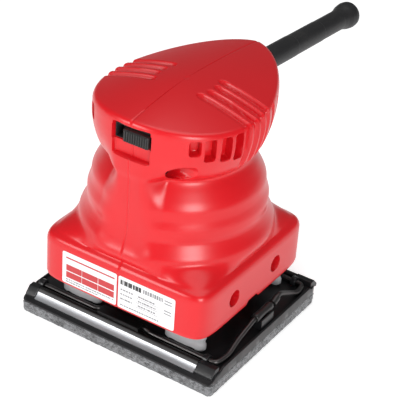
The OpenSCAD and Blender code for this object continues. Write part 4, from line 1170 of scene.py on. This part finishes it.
# ------------------------------------------------------------------ switch, guard and labels
def slot_liner():
    """Black cup that lines the switch's slot, open to the front: a dark thing that stands in for
    the shade deep in the slot.
    """
    front_y, depth, wall = RECESS_FLOOR_Y + 0.1, 5.85, 0.16
    middle_z = sum(SLOT_Z) / 2
    half_h = (SLOT_Z[1] - SLOT_Z[0]) / 2

    def ring(inset, y):
        """The slot's outline, inset, at depth y."""
        w, h = SLOT_HALF_W - inset, half_h - inset
        outline = rounded_profile([(-w, -h), (w, -h), (w, h), (-w, h)], 0.4)
        return np.column_stack([outline[:, 0], np.full(len(outline), y), middle_z + outline[:, 1]])

    cup = Solid()
    tube_shell(cup, np.array([ring(wall + 0.05, front_y + depth - wall), ring(wall + 0.05, front_y),
                              ring(0.05, front_y), ring(0.05, front_y + depth)]))
    cup.piece("slot_liner", "casing", DARK_PLASTIC, smooth_angle=35, slot="switch_body")


def switch_cap():
    """Slider's cap with rounded edges, a stem behind it and ten upright finger ribs."""
    low, high = box_mm("switch_slider")
    cap_y = low[1] + 0.5
    cap = Solid()
    face = rounded_profile([(low[0], low[2]), (high[0], low[2]), (high[0], high[2]),
                            (low[0], high[2])], 0.5)

    def place(u, v, w):
        """Outline in the x-z plane, set at y = w."""
        return np.column_stack([u, np.full(len(u), w), v])

    back_y = RECESS_FLOOR_Y + 5.5
    bar(cap, face, [cap_y, cap_y + 0.3, back_y], [0.3, 0, 0], place)
    ribs = 10
    pitch = (high[0] - low[0] - 0.8) / ribs
    for k in range(ribs):
        x = low[0] + 0.4 + (k + 0.5) * pitch
        rib = rounded_profile([(x - 0.4, low[2] + 0.25), (x + 0.4, low[2] + 0.25),
                               (x + 0.4, high[2] - 0.25), (x - 0.4, high[2] - 0.25)], 0.15, 2)
        bar(cap, rib, [low[1], low[1] + 0.22, cap_y + 0.2], [0.2, 0, 0], place)
    cap.piece("switch_cap", "slider", BLACK_SWITCH, replaces=("switch_slider",), smooth_angle=35)


def cord_guard():
    """Rubber guard: tapers in three faint steps to a rounded, flared mouth."""
    axis = np.array([0, math.cos(GUARD_TILT), -math.sin(GUARD_TILT)])
    length, bore = 98, 3.3
    collar_r, collar_back, collar_front = 8.3, -8, -5.1
    outside = [(collar_r, collar_back), (collar_r, collar_front), (GUARD_R, collar_front),
               (GUARD_R, 8), (GUARD_R - 0.12, 8.6),
               (GUARD_R - 0.12, 34), (GUARD_R - 0.25, 34.6), (GUARD_R - 0.25, 62),
               (GUARD_R - 0.38, 62.6), (GUARD_R - 0.38, length - 13), (GUARD_R + 0.1, length - 9.5),
               (6.9, length - 6.5), (7.3, length - 3), (7.0, length - 0.2), (5.6, length + 0.3),
               (bore + 0.4, length), (bore, length - 0.6)]
    radii = [0.4, 0.3, 0.8, 0.3, 0.3, 0.3, 0.3, 0.3, 0.3, 4, 3, 2, 2, 0.8, 0.6, 0.2, 0.2]
    profile = rounded_profile([(bore, collar_back)] + outside, [0.2] + radii, 5)
    guard = Solid()
    lathe(guard, profile, centre=(0, GUARD_Y, GUARD_Z), axis=axis, around=72)
    guard.piece("cord_sleeve", "casing", BLACK_RUBBER, replaces=("cord_guard",), smooth_angle=45)


def skirt_face_y(x):
    """Front face of the skirt beside the seam."""
    depth = BODY_FRONT
    for _ in range(4):
        t = np.arctan2(np.abs(x), depth)
        depth = outline_r(t, BODY_HALF_W, BODY_FRONT, BODY_REAR, 10, 10) * np.cos(t)
    return -depth


def on_face(u, v, w):
    """Outline in the x-z plane, laid on the skirt's front face at distance w."""
    return np.column_stack([u, skirt_face_y(u) - w, v])


def sheet(solid, x0, x1, z0, z1, low, high, corner=0.0):
    """Flat piece on the skirt's face between two distances from it."""
    corners = [(x0, z0), (x1, z0), (x1, z1), (x0, z1)]
    outline = rounded_profile(corners, corner) if corner else np.array(corners, float)
    bar(solid, outline, [low, high], [0, 0], on_face)


def dashes(solid, x0, x1, z, height, seed, widest_dash=1.5):
    """Row of short ink marks with gaps between, like small print too fine to read."""
    rng = np.random.default_rng(seed)
    x = x0
    while x < x1 - 0.4:
        width = min(rng.uniform(0.35, widest_dash), x1 - x)
        sheet(solid, x, x + width, z, z + height, INK_LOW, INK_HIGH)
        x += width + rng.uniform(0.25, 0.5)


INK_LOW, INK_HIGH = 0.17, 0.21


def labels():
    """Two white stickers with plain printed bars, rules and rows of dashes."""
    for side in ("left", "right"):
        low, high = box_mm(f"rating_label_{side}")
        x0, x1, z0, z1 = low[0], high[0], low[2], high[2]
        sticker = Solid()
        sheet(sticker, x0, x1, z0, z1, 0.02, 0.18, 1.0)
        sticker.piece(f"label_{side}", "casing", LABEL_PAPER,
                      replaces=(f"rating_label_{side}",), smooth_angle=35)
        ink = Solid()
        if side == "left":
            for z_bar in (z1 - 10.2, z1 - 14.2):
                edges = np.linspace(x0 + 2.2, x1 - 1.2, 4)
                for a, b in zip(edges[:-1], edges[1:]):
                    sheet(ink, a + 0.15, b - 0.15, z_bar, z_bar + 3.4, INK_LOW, INK_HIGH)
            sheet(ink, x0 + 2.2, x1 - 1.2, z1 - 3.4, z1 - 2.6, INK_LOW, INK_HIGH)
            ink.piece("label_left_bars", "casing", LABEL_RED, slot="rating_label_left")
            ink = Solid()
            for row, z_row in enumerate((z1 - 15.6, z1 - 16.9)):
                dashes(ink, x0 + 2.2, x1 - 1.5 - 9 * row, z_row, 0.55, 50 + row)
            ink.piece("label_left_rows", "casing", LABEL_GREY, slot="rating_label_left")
            continue
        dashes(ink, x0 + 1.2, x0 + 13.5, z1 - 4.4, 2.6, 60, 2.2)
        ink.piece("label_right_heading", "casing", LABEL_BLACK, slot="rating_label_right")
        ink = Solid()
        dashes(ink, x0 + 14.2, x1 - 6.5, z1 - 4.2, 2.2, 61, 1.2)
        for row in range(3):
            z_row = z1 - 7.6 - 2.6 * row
            dashes(ink, x0 + 1.4, x0 + 8.5, z_row, 0.8, 62 + row)
            dashes(ink, x0 + 11.5, x0 + 21.5, z_row, 0.8, 72 + row)
            sheet(ink, x0 + 10.4, x0 + 22.6, z_row - 0.8, z_row - 0.65, INK_LOW, INK_HIGH)
        dashes(ink, x0 + 1.4, x0 + 24, z1 - 16.2, 0.6, 80)
        for z_rule in (z1 - 3, z1 - 4.6, z1 - 8.6, z1 - 10.2):
            sheet(ink, x1 - 5.8, x1 - 1.8, z_rule, z_rule + 0.5, INK_LOW, INK_HIGH)
        ink.piece("label_right_rows", "casing", LABEL_GREY, slot="rating_label_right")


slot_liner()
switch_cap()
cord_guard()
labels()


OTHER_FINISHES = {
    "housing_screws": BLACK_STEEL, "switch_body": DARK_PLASTIC,
    "cord_clamp": DARK_PLASTIC, "cord_clamp_screws": ZINC_STEEL, "stator_core": IRON_SHEETS,
    "field_coils": COPPER_WIRE, "brush_holders": BRASS, "carbon_brushes": CARBON,
    "brush_springs": ZINC_STEEL, "suppression_capacitor": CAPACITOR, "rotor_shaft": GROUND_STEEL,
    "armature_core": IRON_SHEETS, "armature_windings": COPPER_WIRE, "commutator": COPPER_BARS,
    "cooling_fan": FAN_PLASTIC, "eccentric": GROUND_STEEL, "counterweight": CAST_IRON,
    "platen_screw": ZINC_STEEL, "bearing_retainer": ZINC_STEEL, "retainer_screws": ZINC_STEEL,
    "leg_screws": ZINC_STEEL, "clamp_rods": ZINC_STEEL, "rear_lever_grip": GRIP_SLEEVE,
}
for place in ("upper", "lower", "platen"):
    OTHER_FINISHES[f"{place}_bearing_outer"] = GROUND_STEEL
    OTHER_FINISHES[f"{place}_bearing_inner"] = GROUND_STEEL
    OTHER_FINISHES[f"{place}_bearing_balls"] = BALL_STEEL
for node, finish in OTHER_FINISHES.items():
    slots = NODES[node].data.materials
    slots.clear()
    slots.append(finish)

bpy.context.view_layer.update()
